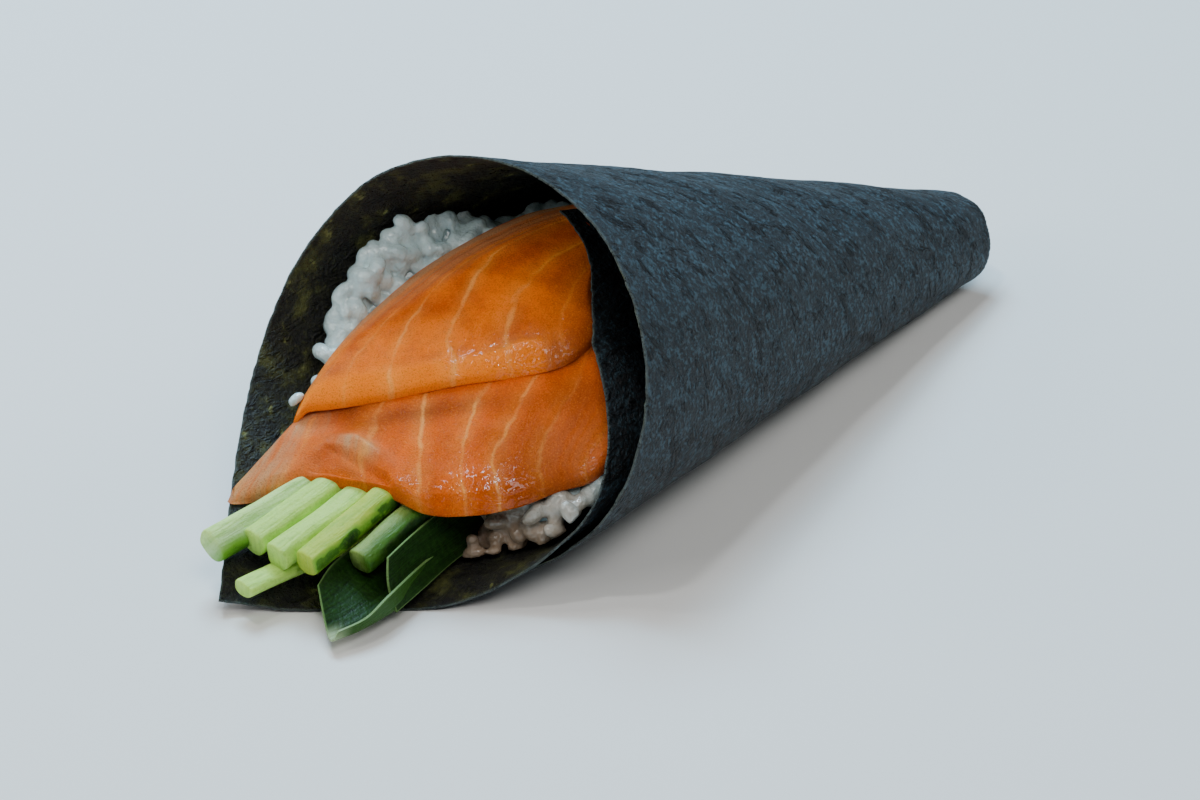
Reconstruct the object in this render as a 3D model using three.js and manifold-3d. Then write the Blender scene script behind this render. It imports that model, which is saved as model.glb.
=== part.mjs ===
// Temaki hand roll lying on its side: a half sheet of nori wound into a cone round
// rice, two salmon slices, cucumber sticks and green leaves that show in the mouth.
//
// Everything is laid out in the roll's own coordinates: the cone's apex is the origin,
// the mouth faces -Y, +Z is up and +X is the side where the outer turn ends its rim.
// Angles go round the cone's axis in degrees, 0 at the top and 90 on the +X side, and
// carry on past 360 on the outer turn. At the end the group is moved so that the part
// stands on the XY plane with its middle at the origin. Millimetres.

import Module from 'manifold-3d';
import * as THREE from 'three';
import { mergeVertices } from 'three/addons/utils/BufferGeometryUtils.js';

const wasm = await Module();
wasm.setup();

// ---- The nori sheet and how it is wound ----
const SHEET_WIDTH = 105; // from the long edge at the mouth to the edge at the tip
const APEX_TO_LONG_EDGE = 140;
const APEX_TO_SHORT_EDGE = 124;
const SHEET_THICKNESS = 0.5;
const CORNER_ANGLE = 192; // the sheet's free corner, low at the front
const INNER_END_ANGLE = -20; // the tucked-in end of the inner turn
const SEAM_ANGLE = 552; // the end of the outer turn, underneath
const HALF_ANGLE = 11.87;
const OVALITY = 0.075; // the section is a little wider than it is high
const OVALITY_ANGLE = 114.5;
const EGG_SHAPE = 0.024;
const EGG_ANGLE = 26.8;
const PRESSED_FLAT = 0.5; // depth of the flat strip on which the roll lies
// The far half of the underside sags onto the floor where the cone rises slowly enough.
const SAG = { from: 165, to: 250, flatRise: 0.04, noRise: 0.085, fadeFrom: 125, fadeOver: 25 };
const TURN_GAP = 1.5; // from the outside of the outer turn to that of the inner turn
const SLACK = 12.5; // how far the inner turn stands off the outer one at the mouth
const SLACK_FROM = 129; // below this angle the inner turn stands off
const END_RISE = 8; // towards its tucked-in end it comes closer again
const TIGHTER = 0.55; // the narrow inner turn takes this much less sheet for its angle
const LIP_LENGTH = 8; // past the outer rim the inner turn comes back out over this length
const DENT_DEPTH = 0.25;

// ---- Clearances ----
const GAP = 0.35; // between touching pieces

// ---- The ramp on which the filling shows, from the front corner up into the mouth ----
const RAMP = { y: -139, height: 27, rise: 0.45, sagFrom: -2, sagOver: 27, sag: 8 };

// ---- Salmon ----
const SLICE_THICKNESS = 2.8;
const SLICE_EDGE = 1.2; // thickness left at a slice's rim

// ---- Rice ----
const GRAIN = { width: 2.7, length: 5.6 };
const RICE_FRONT = 149; // along the axis from the apex
const RICE_SLANT = 5; // how much farther out it comes on the far side
const RICE_BACK = 43;
const RICE_DROP = 2.2; // from the ramp down to the rice
const BANK = { height: 9, from: -21.5, over: 8, front: -146, back: -112 };
const HOLLOW = 6; // the rice is this much lower behind the slices

const DEG = Math.PI / 180;
const vec = (x, y, z) => new THREE.Vector3(x, y, z);
const smooth = (t) => THREE.MathUtils.smoothstep(t, 0, 1);

/** Repeatable random numbers from 0 to 1. */
function randomSource(seed) {
  let state = seed;
  return () => {
    state = (state + 0x6d2b79f5) | 0;
    let t = Math.imul(state ^ (state >>> 15), 1 | state);
    t = (t + Math.imul(t ^ (t >>> 7), 61 | t)) ^ t;
    return ((t ^ (t >>> 14)) >>> 0) / 4294967296;
  };
}

// ---------------------------------------------------------------- the cone

/** Radius of the cone for each millimetre along its axis, at an angle round it. */
function slope(angle) {
  const oval = OVALITY * Math.cos(2 * (angle - OVALITY_ANGLE) * DEG);
  const egg = EGG_SHAPE * Math.cos(3 * (angle - EGG_ANGLE) * DEG);
  return Math.tan(HALF_ANGLE * DEG) * (1 + oval + egg);
}

/** The tilt that brings the cone's lowest line down to the floor. */
function restingTilt() {
  let lowest = 0;
  for (let angle = 90; angle <= 270; angle += 1) {
    lowest = Math.max(lowest, -slope(angle) * Math.cos(angle * DEG));
  }
  return Math.atan(lowest);
}

const TILT = restingTilt();
const AXIS = vec(0, -Math.cos(TILT), Math.sin(TILT));
const UP = vec(0, Math.sin(TILT), Math.cos(TILT));
const SIDE = vec(1, 0, 0);

function radial(angle) {
  return UP.clone()
    .multiplyScalar(Math.cos(angle * DEG))
    .addScaledVector(SIDE, Math.sin(angle * DEG));
}

/** Direction of the straight line on the cone at an angle. */
function coneLine(angle) {
  return AXIS.clone().addScaledVector(radial(angle), slope(angle)).normalize();
}

function coneNormal(angle) {
  const tangent = coneLine(angle + 0.5).sub(coneLine(angle - 0.5));
  const normal = tangent.cross(coneLine(angle)).normalize();
  return normal.dot(radial(angle)) < 0 ? normal.negate() : normal;
}

/** Angle on the flat sheet, seen from the apex, between the free corner and an angle. */
function unrolled(angle) {
  const steps = Math.max(1, Math.ceil(Math.abs(angle - CORNER_ANGLE) / 2));
  const step = (angle - CORNER_ANGLE) / steps;
  let sum = 0;
  for (let i = 0; i < steps; i += 1) {
    const from = coneLine(CORNER_ANGLE + i * step);
    sum += from.angleTo(coneLine(CORNER_ANGLE + (i + 1) * step));
  }
  return Math.sign(angle - CORNER_ANGLE) * sum;
}

const FOOT = Math.atan2(APEX_TO_SHORT_EDGE, APEX_TO_LONG_EDGE);

/** Distance from the apex to the sheet's edge at the mouth. */
function mouthEdge(angle) {
  const turned = unrolled(angle);
  if (angle >= CORNER_ANGLE) {
    return APEX_TO_LONG_EDGE / Math.cos(turned - FOOT);
  }
  return APEX_TO_SHORT_EDGE / Math.cos(-turned - (Math.PI / 2 - FOOT));
}

/** Distance from the apex to the sheet's edge at the tip. */
function tipEdge(angle) {
  const tight = Math.min(0, angle - SLACK_FROM);
  const turned = unrolled(angle - tight * (1 - TIGHTER));
  return (APEX_TO_LONG_EDGE - SHEET_WIDTH) / Math.cos(turned - FOOT);
}

/** How far the sheet's outer face lies inside the cone: the inner turn stands off. */
function inset(angle, distance) {
  if (angle > 240) {
    return 0;
  }
  const outerRim = mouthEdge(Math.min(angle + 360, SEAM_ANGLE));
  const lip = smooth((distance - outerRim - 1) / LIP_LENGTH);
  const tuckedUnder = TURN_GAP * smooth((216 - angle) / 19) * (1 - lip);
  const standingOff = SLACK * smooth((SLACK_FROM - angle) / 70);
  const comingBack = END_RISE * smooth((42 - angle) / 84);
  return tuckedUnder + (standingOff - comingBack) * smooth((distance - 70) / 65);
}

/** How far the underside comes down onto the floor. */
function sag(angle, distance) {
  const turn = ((angle % 360) + 360) % 360;
  if (turn < SAG.from || turn > SAG.to) {
    return 0;
  }
  const rise = coneLine(turn).z;
  const share = 1 - smooth((rise - SAG.flatRise) / (SAG.noRise - SAG.flatRise));
  return rise * distance * share * (1 - smooth((distance - SAG.fadeFrom) / SAG.fadeOver));
}

/** Shallow dents, the same on both turns. */
function dent(angle, distance) {
  const round = Math.sin(2 * angle * DEG + distance / 11);
  const along = Math.sin(distance / 7 + 1.5 * Math.sin(3 * angle * DEG));
  return DENT_DEPTH * round * along;
}

function sheetPoint(angle, distance, depth) {
  const point = coneLine(angle).multiplyScalar(distance);
  const inward = inset(angle, distance) + dent(angle, distance) + depth;
  point.addScaledVector(coneNormal(angle), -inward);
  point.z -= PRESSED_FLAT + sag(angle, distance);
  point.z = Math.max(point.z, depth);
  return point;
}

// ---------------------------------------------------------------- solids

/** A closed solid between two grids of points that are split into triangles alike. */
function slab(columns, rows, pointAt) {
  const positions = [];
  const count = (columns + 1) * (rows + 1);
  for (const face of [0, 1]) {
    for (let i = 0; i <= columns; i += 1) {
      for (let j = 0; j <= rows; j += 1) {
        positions.push(...pointAt(i / columns, j / rows, face).toArray());
      }
    }
  }
  const at = (i, j, face) => face * count + i * (rows + 1) + j;
  const indices = [];
  const quad = (a, b, c, d) => indices.push(a, b, c, a, c, d);
  for (let i = 0; i < columns; i += 1) {
    for (let j = 0; j < rows; j += 1) {
      quad(at(i, j, 0), at(i + 1, j, 0), at(i + 1, j + 1, 0), at(i, j + 1, 0));
      quad(at(i, j + 1, 1), at(i + 1, j + 1, 1), at(i + 1, j, 1), at(i, j, 1));
    }
  }
  for (let i = 0; i < columns; i += 1) {
    quad(at(i + 1, 0, 0), at(i, 0, 0), at(i, 0, 1), at(i + 1, 0, 1));
    quad(at(i, rows, 0), at(i + 1, rows, 0), at(i + 1, rows, 1), at(i, rows, 1));
  }
  for (let j = 0; j < rows; j += 1) {
    quad(at(0, j, 0), at(0, j + 1, 0), at(0, j + 1, 1), at(0, j, 1));
    quad(at(columns, j + 1, 0), at(columns, j, 0), at(columns, j, 1), at(columns, j + 1, 1));
  }
  const geometry = new THREE.BufferGeometry();
  geometry.setAttribute('position', new THREE.Float32BufferAttribute(positions, 3));
  geometry.setIndex(indices);
  return facingOut(geometry);
}

function signedVolume(geometry) {
  const { position } = geometry.attributes;
  const [a, b, c] = [vec(), vec(), vec()];
  let volume = 0;
  for (let i = 0; i < geometry.index.count; i += 3) {
    a.fromBufferAttribute(position, geometry.index.getX(i));
    b.fromBufferAttribute(position, geometry.index.getX(i + 1));
    c.fromBufferAttribute(position, geometry.index.getX(i + 2));
    volume += a.dot(b.cross(c)) / 6;
  }
  return volume;
}

function facingOut(geometry) {
  if (signedVolume(geometry) > 0) {
    return geometry;
  }
  const turned = Array.from(geometry.index.array);
  for (let i = 0; i < turned.length; i += 3) {
    [turned[i], turned[i + 1]] = [turned[i + 1], turned[i]];
  }
  geometry.setIndex(turned);
  return geometry;
}

function toManifold(geometry) {
  const bare = geometry.clone();
  bare.deleteAttribute('normal');
  bare.deleteAttribute('uv');
  const merged = mergeVertices(bare, 1e-4);
  return new wasm.Manifold(new wasm.Mesh({
    numProp: 3,
    vertProperties: Float32Array.from(merged.attributes.position.array),
    triVerts: Uint32Array.from(merged.index.array),
  }));
}

function cutAway(solid, taken) {
  return taken.reduce((left, room) => left.subtract(room), solid);
}

function largestBody(solid) {
  return solid.decompose().sort((a, b) => b.volume() - a.volume())[0];
}

function fromManifold(solid) {
  const mesh = solid.getMesh();
  const geometry = new THREE.BufferGeometry();
  geometry.setAttribute('position', new THREE.BufferAttribute(mesh.vertProperties, 3));
  geometry.setIndex(new THREE.BufferAttribute(mesh.triVerts, 1));
  return geometry;
}

// ---------------------------------------------------------------- the nori

/** The sheet, or with a margin the room that it needs. */
function noriSheet(margin = 0) {
  const innerColumns = 26;
  const outerColumns = 52;
  const columns = innerColumns + outerColumns;
  const rows = 12;
  const endAngle = margin * 4; // degrees that cover the margin where the roll is narrow
  const angleAt = (u) => {
    const column = u * columns;
    if (column <= innerColumns) {
      return THREE.MathUtils.lerp(INNER_END_ANGLE - endAngle, CORNER_ANGLE, column / innerColumns);
    }
    const share = (column - innerColumns) / outerColumns;
    return THREE.MathUtils.lerp(CORNER_ANGLE, SEAM_ANGLE + endAngle, share);
  };
  return slab(columns, rows, (u, v, face) => {
    const angle = angleAt(u);
    const distance = THREE.MathUtils.lerp(tipEdge(angle) - margin, mouthEdge(angle) + margin, v);
    return sheetPoint(angle, distance, face === 0 ? -margin : SHEET_THICKNESS + margin);
  });
}

/** How far from the cone the filling's outside lies: inside the innermost turn. */
function fillingInset(angle, along) {
  const fromTop = ((((angle + 60) % 360) + 360) % 360) - 60;
  const innerTurn = inset(fromTop, along) * smooth((fromTop + 60) / 45);
  return SHEET_THICKNESS + DENT_DEPTH + GAP + innerTurn;
}

/** A point of the filling's outside, at an angle and a distance along the axis. */
function fillingPoint(angle, along, margin) {
  const inward = (fillingInset(angle, along) + margin) / Math.cos(HALF_ANGLE * DEG);
  const reach = along * slope(angle) - inward;
  const point = AXIS.clone().multiplyScalar(along).addScaledVector(radial(angle), reach);
  point.z -= PRESSED_FLAT + sag(angle, along);
  return point;
}

/** Pulls a point of the filling in towards the axis until it clears the nori. */
function keepInside(point, margin) {
  const raised = point.clone();
  raised.z += PRESSED_FLAT;
  const along = raised.dot(AXIS);
  const up = raised.dot(UP);
  const side = raised.dot(SIDE);
  const angle = Math.atan2(side, up) / DEG;
  const limit = fillingPoint(angle, along, margin);
  limit.z += PRESSED_FLAT;
  const reach = Math.hypot(up, side);
  const allowed = Math.hypot(limit.dot(UP), limit.dot(SIDE));
  if (reach > allowed) {
    raised.addScaledVector(radial(angle), allowed - reach);
  }
  raised.z -= PRESSED_FLAT;
  return raised;
}

// ---------------------------------------------------------------- the salmon

function rampHeight(x, y) {
  const side = Math.max(0, (x - RAMP.sagFrom) / RAMP.sagOver);
  return RAMP.height + RAMP.rise * (y - RAMP.y) - RAMP.sag * side * side;
}

/** The rice lies just below the ramp, and is banked up against the far wall. */
function riceHeight(x, y) {
  const onBank = smooth((BANK.from - x) / BANK.over);
  const bank = BANK.height * smooth((y - BANK.front) / 6) * smooth((BANK.back - y) / 9);
  const hollow = HOLLOW * smooth((y - BANK.back + 10) / 8);
  return rampHeight(x, y) - RICE_DROP + onBank * bank - (1 - onBank) * hollow;
}

function pushOut(place, centre, distance) {
  return place.addScaledVector(place.clone().sub(centre).normalize(), distance);
}

const curveOf = (points) => new THREE.CatmullRomCurve3(points.map(([x, y]) => vec(x, y, 0)));

// Each slice lies between a front edge and a back edge, seen from above. Both edges run
// from the slice's free end, low at the corner, to the end that is rolled into the cone.
const UPPER_SLICE = {
  lift: 1.5,
  front: [[-21.5, -161], [-17.7, -159.3], [-9.9, -153.7], [-0.9, -146], [7, -139.5],
    [12, -132.5], [11.5, -122], [8, -109]],
  back: [[-22.3, -158.5], [-24.2, -146], [-24.3, -139], [-22.8, -130], [-17.5, -118.7],
    [-12, -113], [-4, -108]],
};
const LOWER_SLICE = {
  lift: -1.75,
  front: [[-20.4, -174.8], [-15, -170.4], [-7.8, -164.8], [2.2, -161.4], [10, -160.2],
    [15.4, -156.2], [19.4, -151], [22, -145.5], [24.8, -139.5], [23, -132], [12, -126]],
  back: [[-21, -172.9], [-21.2, -165], [-21.5, -158], [-21, -148], [-17.5, -136],
    [-10, -127], [-2, -123]],
};

/** A slice, or with a margin the room that it needs. */
function salmonSlice({ lift, front, back }, margin) {
  const frontEdge = curveOf(front);
  const backEdge = curveOf(back);
  const centre = frontEdge.getPoint(0.5).lerp(backEdge.getPoint(0.5), 0.5);
  return slab(14, 7, (u, v, face) => {
    const place = frontEdge.getPoint(u).lerp(backEdge.getPoint(u), v);
    pushOut(place, centre, margin);
    const fromRim = Math.min(v, 1 - v, 2 * u, 2 * (1 - u)) / 0.2;
    const body = THREE.MathUtils.lerp(SLICE_EDGE, SLICE_THICKNESS, smooth(fromRim));
    const middle = rampHeight(place.x, place.y) + lift - SLICE_THICKNESS / 2;
    place.z = middle + (0.5 - face) * (body + 2 * margin);
    return keepInside(place, -margin);
  });
}

// ---------------------------------------------------------------- the cucumber

// The middle of each stick's front end, how it leans over a millimetre of length, its
// section and how far the section is turned.
const STICKS = {
  cucumber_1: { end: [-12.1, -183.9, 8], lean: [0.03, 0.088], size: [5.4, 4.6], turn: 38, length: 48 },
  cucumber_2: { end: [-8.3, -179, 8.2], lean: [-0.03, 0.16], size: [4.4, 4.6], turn: 4, length: 50 },
  cucumber_3: { end: [-3.5, -178.8, 7.7], lean: [-0.03, 0.16], size: [4.4, 4.6], turn: -4, length: 50 },
  cucumber_4: { end: [-4.1, -185, 4.9], lean: [0.05, 0], size: [4.2, 2.8], turn: 0, length: 40 },
  cucumber_5: { end: [1.2, -177.2, 8], lean: [-0.06, 0.22], size: [4.4, 4.4], turn: 6, length: 46 },
  cucumber_6: { end: [5.3, -170.5, 7.2], lean: [-0.07, 0.23], size: [4.4, 4.2], turn: 0, length: 42 },
};
const SKIN_BULGE = 0.9; // how far the skin side of a stick curves out

/** A stick's section, drawn as seen from the mouth with +X to the left. */
function stickSection(width, height, margin) {
  const halfWidth = width / 2 + margin;
  const halfHeight = height / 2 + margin;
  const section = new THREE.Shape();
  section.moveTo(-halfWidth, halfHeight * 0.9);
  section.quadraticCurveTo(-halfWidth - SKIN_BULGE, -halfHeight * 0.3, -halfWidth * 0.6, -halfHeight);
  section.lineTo(halfWidth, -halfHeight * 0.94);
  section.lineTo(halfWidth * 0.96, halfHeight);
  section.closePath();
  return section;
}

function cucumberStick({ end, lean, size, turn, length }, margin) {
  const section = stickSection(size[0], size[1], margin);
  const geometry = new THREE.ExtrudeGeometry(section, {
    depth: length + 2 * margin,
    steps: 1,
    curveSegments: 5,
    bevelEnabled: false,
  });
  geometry.translate(0, 0, -margin);
  const inward = vec(lean[0], 1, lean[1]).normalize();
  const farSide = vec(0, 0, 1).cross(inward).normalize();
  const upward = inward.clone().cross(farSide);
  geometry.rotateZ(turn * DEG);
  geometry.applyMatrix4(new THREE.Matrix4().makeBasis(farSide, upward, inward));
  geometry.translate(...end);
  return geometry;
}

// ---------------------------------------------------------------- the leaves

const LEAF_THICKNESS = 0.5;
const LEAF_WAVE = 0.3;

// A leaf is spanned by rails: lines from its free end to its end inside the roll.
const LEAF_LEFT = {
  rails: [
    [[4.2, -177.8, 6.2], [2.2, -173.5, 6.6], [0.6, -168, 6.4], [-1, -160, 6.2], [-2, -150, 6]],
    [[8, -180.2, 4.2], [7.2, -174, 3.8], [5.4, -168, 3.6], [3.4, -160, 3.2], [2, -150, 3]],
    [[11, -182.2, 2.8], [10.4, -175, 2.9], [9, -168, 3.2], [6.4, -160, 3], [4.6, -150, 2.9]],
    [[11.9, -181, 3.6], [12, -175, 5], [11, -171, 6.2], [9, -162, 5.4], [6.8, -151, 4.6]],
  ],
};
const LEAF_RIGHT = {
  rails: [
    [[11, -168.6, 3.9], [9.6, -163, 3.8], [8.2, -156, 3.5], [7.2, -146, 3.3]],
    [[10.2, -170, 6.4], [8.8, -164, 6.4], [7.6, -156, 6.4], [6.4, -146, 6.4]],
    [[9.2, -168.6, 9], [8, -163, 9.6], [6.6, -156, 10], [4.8, -146, 9.8]],
  ],
};

function leaf({ rails }, margin) {
  const lines = rails.map((points) => new THREE.CatmullRomCurve3(points.map((p) => vec(...p))));
  const middle = (u, v) => {
    const across = new THREE.CatmullRomCurve3(lines.map((line) => line.getPoint(u)));
    return across.getPoint(v);
  };
  const centre = middle(0.5, 0.5);
  const step = 0.01;
  return slab(9, 5, (u, v, face) => {
    const along = middle(Math.min(u + step, 1), v).sub(middle(Math.max(u - step, 0), v));
    const across = middle(u, Math.min(v + step, 1)).sub(middle(u, Math.max(v - step, 0)));
    const normal = along.cross(across).normalize();
    const wave = LEAF_WAVE * Math.sin(9 * u + 3 * v) * Math.sin(Math.PI * v);
    const side = (0.5 - face) * (LEAF_THICKNESS + 2 * margin);
    const place = pushOut(middle(u, v), centre, margin);
    return keepInside(place.addScaledVector(normal, wave + side), -margin);
  });
}

// ---------------------------------------------------------------- the rice

/** How far out the rice comes, along the axis: farthest on the far side. */
function riceFront(angle) {
  return RICE_FRONT + RICE_SLANT * Math.cos((angle - 260) * DEG);
}

function riceCore() {
  const rings = 12;
  const sides = 36;
  const positions = [];
  const indices = [];
  for (let k = 0; k <= rings; k += 1) {
    for (let i = 0; i < sides; i += 1) {
      const angle = (360 * i) / sides;
      const along = THREE.MathUtils.lerp(RICE_BACK, riceFront(angle), k / rings);
      positions.push(...fillingPoint(angle, along, 0.4).toArray());
    }
  }
  for (let k = 0; k < rings; k += 1) {
    for (let i = 0; i < sides; i += 1) {
      const next = (i + 1) % sides;
      const [a, b] = [k * sides + i, k * sides + next];
      const [c, d] = [a + sides, b + sides];
      indices.push(a, c, b, b, c, d);
    }
  }
  const back = positions.length / 3;
  for (const along of [RICE_BACK, RICE_FRONT]) {
    const centre = AXIS.clone().multiplyScalar(along);
    positions.push(centre.x, centre.y, centre.z - PRESSED_FLAT);
  }
  for (let i = 0; i < sides; i += 1) {
    const next = (i + 1) % sides;
    indices.push(back, i, next);
    indices.push(back + 1, rings * sides + next, rings * sides + i);
  }
  const geometry = new THREE.BufferGeometry();
  geometry.setAttribute('position', new THREE.Float32BufferAttribute(positions, 3));
  geometry.setIndex(indices);
  return facingOut(geometry);
}

/** The room above the rice. */
function aboveTheRice() {
  const [halfWidth, front, back, ceiling] = [60, -215, -70, 120];
  return slab(30, 30, (u, v, face) => {
    const x = THREE.MathUtils.lerp(-halfWidth, halfWidth, u);
    const y = THREE.MathUtils.lerp(front, back, v);
    return vec(x, y, face === 0 ? ceiling : riceHeight(x, y));
  });
}

/** One grain: an ellipsoid with few sides, long along its own Z. */
function riceGrain(place, direction, size) {
  const geometry = new THREE.SphereGeometry(1, 5, 4);
  geometry.scale((GRAIN.width / 2) * size, (GRAIN.width / 2) * size, (GRAIN.length / 2) * size);
  const turn = new THREE.Quaternion().setFromUnitVectors(vec(0, 0, 1), direction);
  geometry.applyQuaternion(turn);
  geometry.translate(place.x, place.y, place.z);
  return geometry;
}

// The line along which the bank of rice meets the far wall, seen from above.
const BANK_LINE = [[-26, -154], [-27.7, -149], [-30.2, -143], [-30.3, -136.5], [-28.4, -130.5],
  [-25.3, -124.5], [-22, -117]];

/** Where grains show: on the bank, in the near corner under the salmon, in the open tip. */
function grainSpots(random) {
  const spots = [];
  const scatter = (count, make) => {
    for (let i = 0; i < count; i += 1) {
      spots.push(make(i / (count - 1)));
    }
  };
  const jitter = (size) => size * (random() - 0.5);
  const wall = curveOf(BANK_LINE);
  for (const row of [0, 1, 2]) {
    scatter(13, (t) => {
      const spot = wall.getPoint(t);
      spot.x += 1.4 + 2.6 * row + jitter(1);
      spot.y += jitter(1.5);
      spot.z = riceHeight(spot.x, spot.y) + 0.2 + jitter(0.6);
      return keepInside(spot, 1.2);
    });
  }
  for (const row of [0, 1, 2]) {
    scatter(9, (t) => {
      const angle = THREE.MathUtils.lerp(100, 185, t) + jitter(4);
      return fillingPoint(angle, riceFront(angle) + 1 - 0.4 * row, 1.6 + 3.1 * row + jitter(1));
    });
  }
  scatter(9, (t) => fillingPoint(360 * t, RICE_BACK + 0.5 + jitter(1), 1.8 + jitter(0.4)));
  return spots;
}

function riceHeap(taken) {
  const random = randomSource(7);
  let heap = toManifold(riceCore()).subtract(toManifold(aboveTheRice()));
  for (const place of grainSpots(random)) {
    const direction = vec(random() - 0.5, random() - 0.5, random() - 0.5).normalize();
    const size = 0.92 + 0.16 * random();
    heap = heap.add(toManifold(riceGrain(place, direction, size)));
  }
  return largestBody(cutAway(heap.simplify(0.1), taken).simplify(0.03));
}

// ---------------------------------------------------------------- the part

function material(color, roughness) {
  return new THREE.MeshStandardMaterial({ color, roughness, metalness: 0 });
}

const NORI = material(0x2e3a40, 0.6);
const SALMON = material(0xd9772f, 0.35);
const CUCUMBER = material(0xb4c887, 0.4);
const LEAF = material(0x24451b, 0.45);
const RICE = material(0xd8dcd6, 0.4);

const pieces = new THREE.Group();

function addPiece(name, geometry, surface) {
  const mesh = new THREE.Mesh(geometry, surface);
  mesh.name = name;
  pieces.add(mesh);
}

const taken = [toManifold(noriSheet(GAP))]; // the room of the pieces placed so far

/** Adds a piece that gives way to the pieces before it. */
function addFitted(name, make, surface) {
  const solid = largestBody(cutAway(toManifold(make(0)), taken));
  addPiece(name, fromManifold(solid), surface);
  taken.push(toManifold(make(GAP)));
}

addPiece('nori', noriSheet(), NORI);
addFitted('salmon_upper', (margin) => salmonSlice(UPPER_SLICE, margin), SALMON);
addFitted('salmon_lower', (margin) => salmonSlice(LOWER_SLICE, margin), SALMON);
for (const [name, stick] of Object.entries(STICKS)) {
  addFitted(name, (margin) => cucumberStick(stick, margin), CUCUMBER);
}
addFitted('leaf_left', (margin) => leaf(LEAF_LEFT, margin), LEAF);
addFitted('leaf_right', (margin) => leaf(LEAF_RIGHT, margin), LEAF);
addPiece('rice', fromManifold(riceHeap(taken)), RICE);

const bounds = new THREE.Box3().setFromObject(pieces);
pieces.position.set(-(bounds.min.x + bounds.max.x) / 2, -(bounds.min.y + bounds.max.y) / 2, 0);

const group = new THREE.Group();
group.add(pieces);

export default group;
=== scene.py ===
"""Looks of the temaki hand roll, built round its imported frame.

Lengths are millimetres in the roll's own coordinates until a mesh is made: the cone's
apex is the origin, the mouth faces -Y, +Z is up, and the camera stands on the +X side.
Angles go round the cone's axis in degrees, 0 at the top and 90 on the +X side, and carry
on past 360 on the outer turn. Arrays of points have x, y and z on their last axis.
"""

import math

import bpy
import numpy as np
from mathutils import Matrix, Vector, noise
from mathutils.bvhtree import BVHTree


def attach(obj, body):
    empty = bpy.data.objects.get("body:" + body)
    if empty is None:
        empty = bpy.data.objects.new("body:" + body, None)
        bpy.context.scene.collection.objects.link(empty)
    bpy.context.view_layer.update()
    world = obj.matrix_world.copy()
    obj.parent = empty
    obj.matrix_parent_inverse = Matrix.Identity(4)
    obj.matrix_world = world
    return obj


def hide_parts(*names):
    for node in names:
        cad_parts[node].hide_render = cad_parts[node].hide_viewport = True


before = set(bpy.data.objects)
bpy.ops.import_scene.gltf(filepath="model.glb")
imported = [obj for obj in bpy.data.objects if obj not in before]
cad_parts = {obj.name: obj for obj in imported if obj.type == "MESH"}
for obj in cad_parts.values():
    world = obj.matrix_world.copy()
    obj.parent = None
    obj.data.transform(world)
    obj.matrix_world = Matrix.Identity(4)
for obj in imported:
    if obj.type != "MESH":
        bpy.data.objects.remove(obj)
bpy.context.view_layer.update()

# ---- The nori sheet, wound as in the CAD, but thinner ----
SHEET_WIDTH = 105
APEX_TO_LONG_EDGE = 140
APEX_TO_SHORT_EDGE = 124
CORNER_ANGLE = 192  # the sheet's free corner, low at the front
INNER_END_ANGLE = -20  # the tucked-in end of the inner turn
INNER_TURN_TO = 240  # from this angle on the sheet is the outer turn alone
SEAM_ANGLE = 552  # the end of the outer turn, underneath
HALF_ANGLE = 11.87
OVALITY = 0.075
OVALITY_ANGLE = 114.5
EGG_SHAPE = 0.024
EGG_ANGLE = 26.8
PRESSED_FLAT = 0.5  # depth of the flat strip on which the roll lies
SAG_ANGLES = (165, 250)  # between them the underside comes down to the floor,
SAG_RISE = (0.04, 0.085)  # wholly where it rises little on its way and not at all beyond
SAG_FADE = (125, 25)  # and less far from the apex
TURN_GAP = 1.5  # between the outsides of the two turns
TURN_GAP_ANGLES = (216, -19)  # where it begins, and over how much it grows
SLACK = 12.5  # how far the inner turn stands off the outer one at the mouth
SLACK_FROM, SLACK_OVER = 129, -70
SLACK_DISTANCES = (70, 65)
END_RISE = 8  # towards its tucked-in end the inner turn comes closer again
END_RISE_ANGLES = (42, -84)
TIGHTER = 0.55  # how much less sheet the narrow inner turn takes for its angle
LIP = (1, 8)  # past the outer rim the inner turn comes back out
DENT_DEPTH = 0.25
DENT_SLANT, DENT_RING, DENT_BEND = 11, 7, 1.5  # lengths of its two waves, bend of the second
GAP = 0.35  # between touching pieces
NORI_THICKNESS = 0.28

# ---- The filling, as in the CAD ----
ROOM_FROM, ROOM_OVER = -60, 45  # angles where the inner turn begins to take its room
RAMP = {"y": -139, "height": 27, "rise": 0.45, "sag_from": -2, "sag_over": 27, "sag": 8}
SLICE_THICKNESS = 2.8

# ---- Colours ----
SALMON_DEEP = (0.54, 0.075, 0.0)
SALMON_BRIGHT = (0.84, 0.155, 0.0)
SALMON_RICH = (0.74, 0.105, 0.0)
SALMON_PALE = (0.92, 0.21, 0.0)
SALMON_SPECK = (1.0, 0.32, 0.03)
SALMON_THIN = (0.51, 0.265, 0.13)
# painted shade, also used for the dark flecks of the flesh
SALMON_SHADE_AND_FLECK = (0.17, 0.024, 0.0)
SALMON_FAT = (0.95, 0.40, 0.09)
# painted light: the cut side under the front edge, brighter where the front light falls on it and shines
# through
SALMON_LIT_SIDE = (1.0, 0.215, 0.0)

# The outer face's tones: the sheet's own near-black under a painted blue-grey sheen of cool light.
NORI_SHEEN_DARK = (0.001, 0.003, 0.006)
NORI_SHEEN_MIDDLE = (0.0055, 0.017, 0.026)
NORI_SHEEN_LIGHT = (0.037, 0.082, 0.112)
# painted shade in the creases
NORI_CREASE_SHADE = (0.001, 0.002, 0.004)
NORI_RIM = (0.10, 0.13, 0.12)
OLIVE_DARK = (0.003, 0.003, 0.002)
OLIVE_MIDDLE = (0.013, 0.014, 0.004)
OLIVE_LIGHT = (0.075, 0.082, 0.014)
OLIVE_SPECK = (0.22, 0.24, 0.07)

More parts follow.
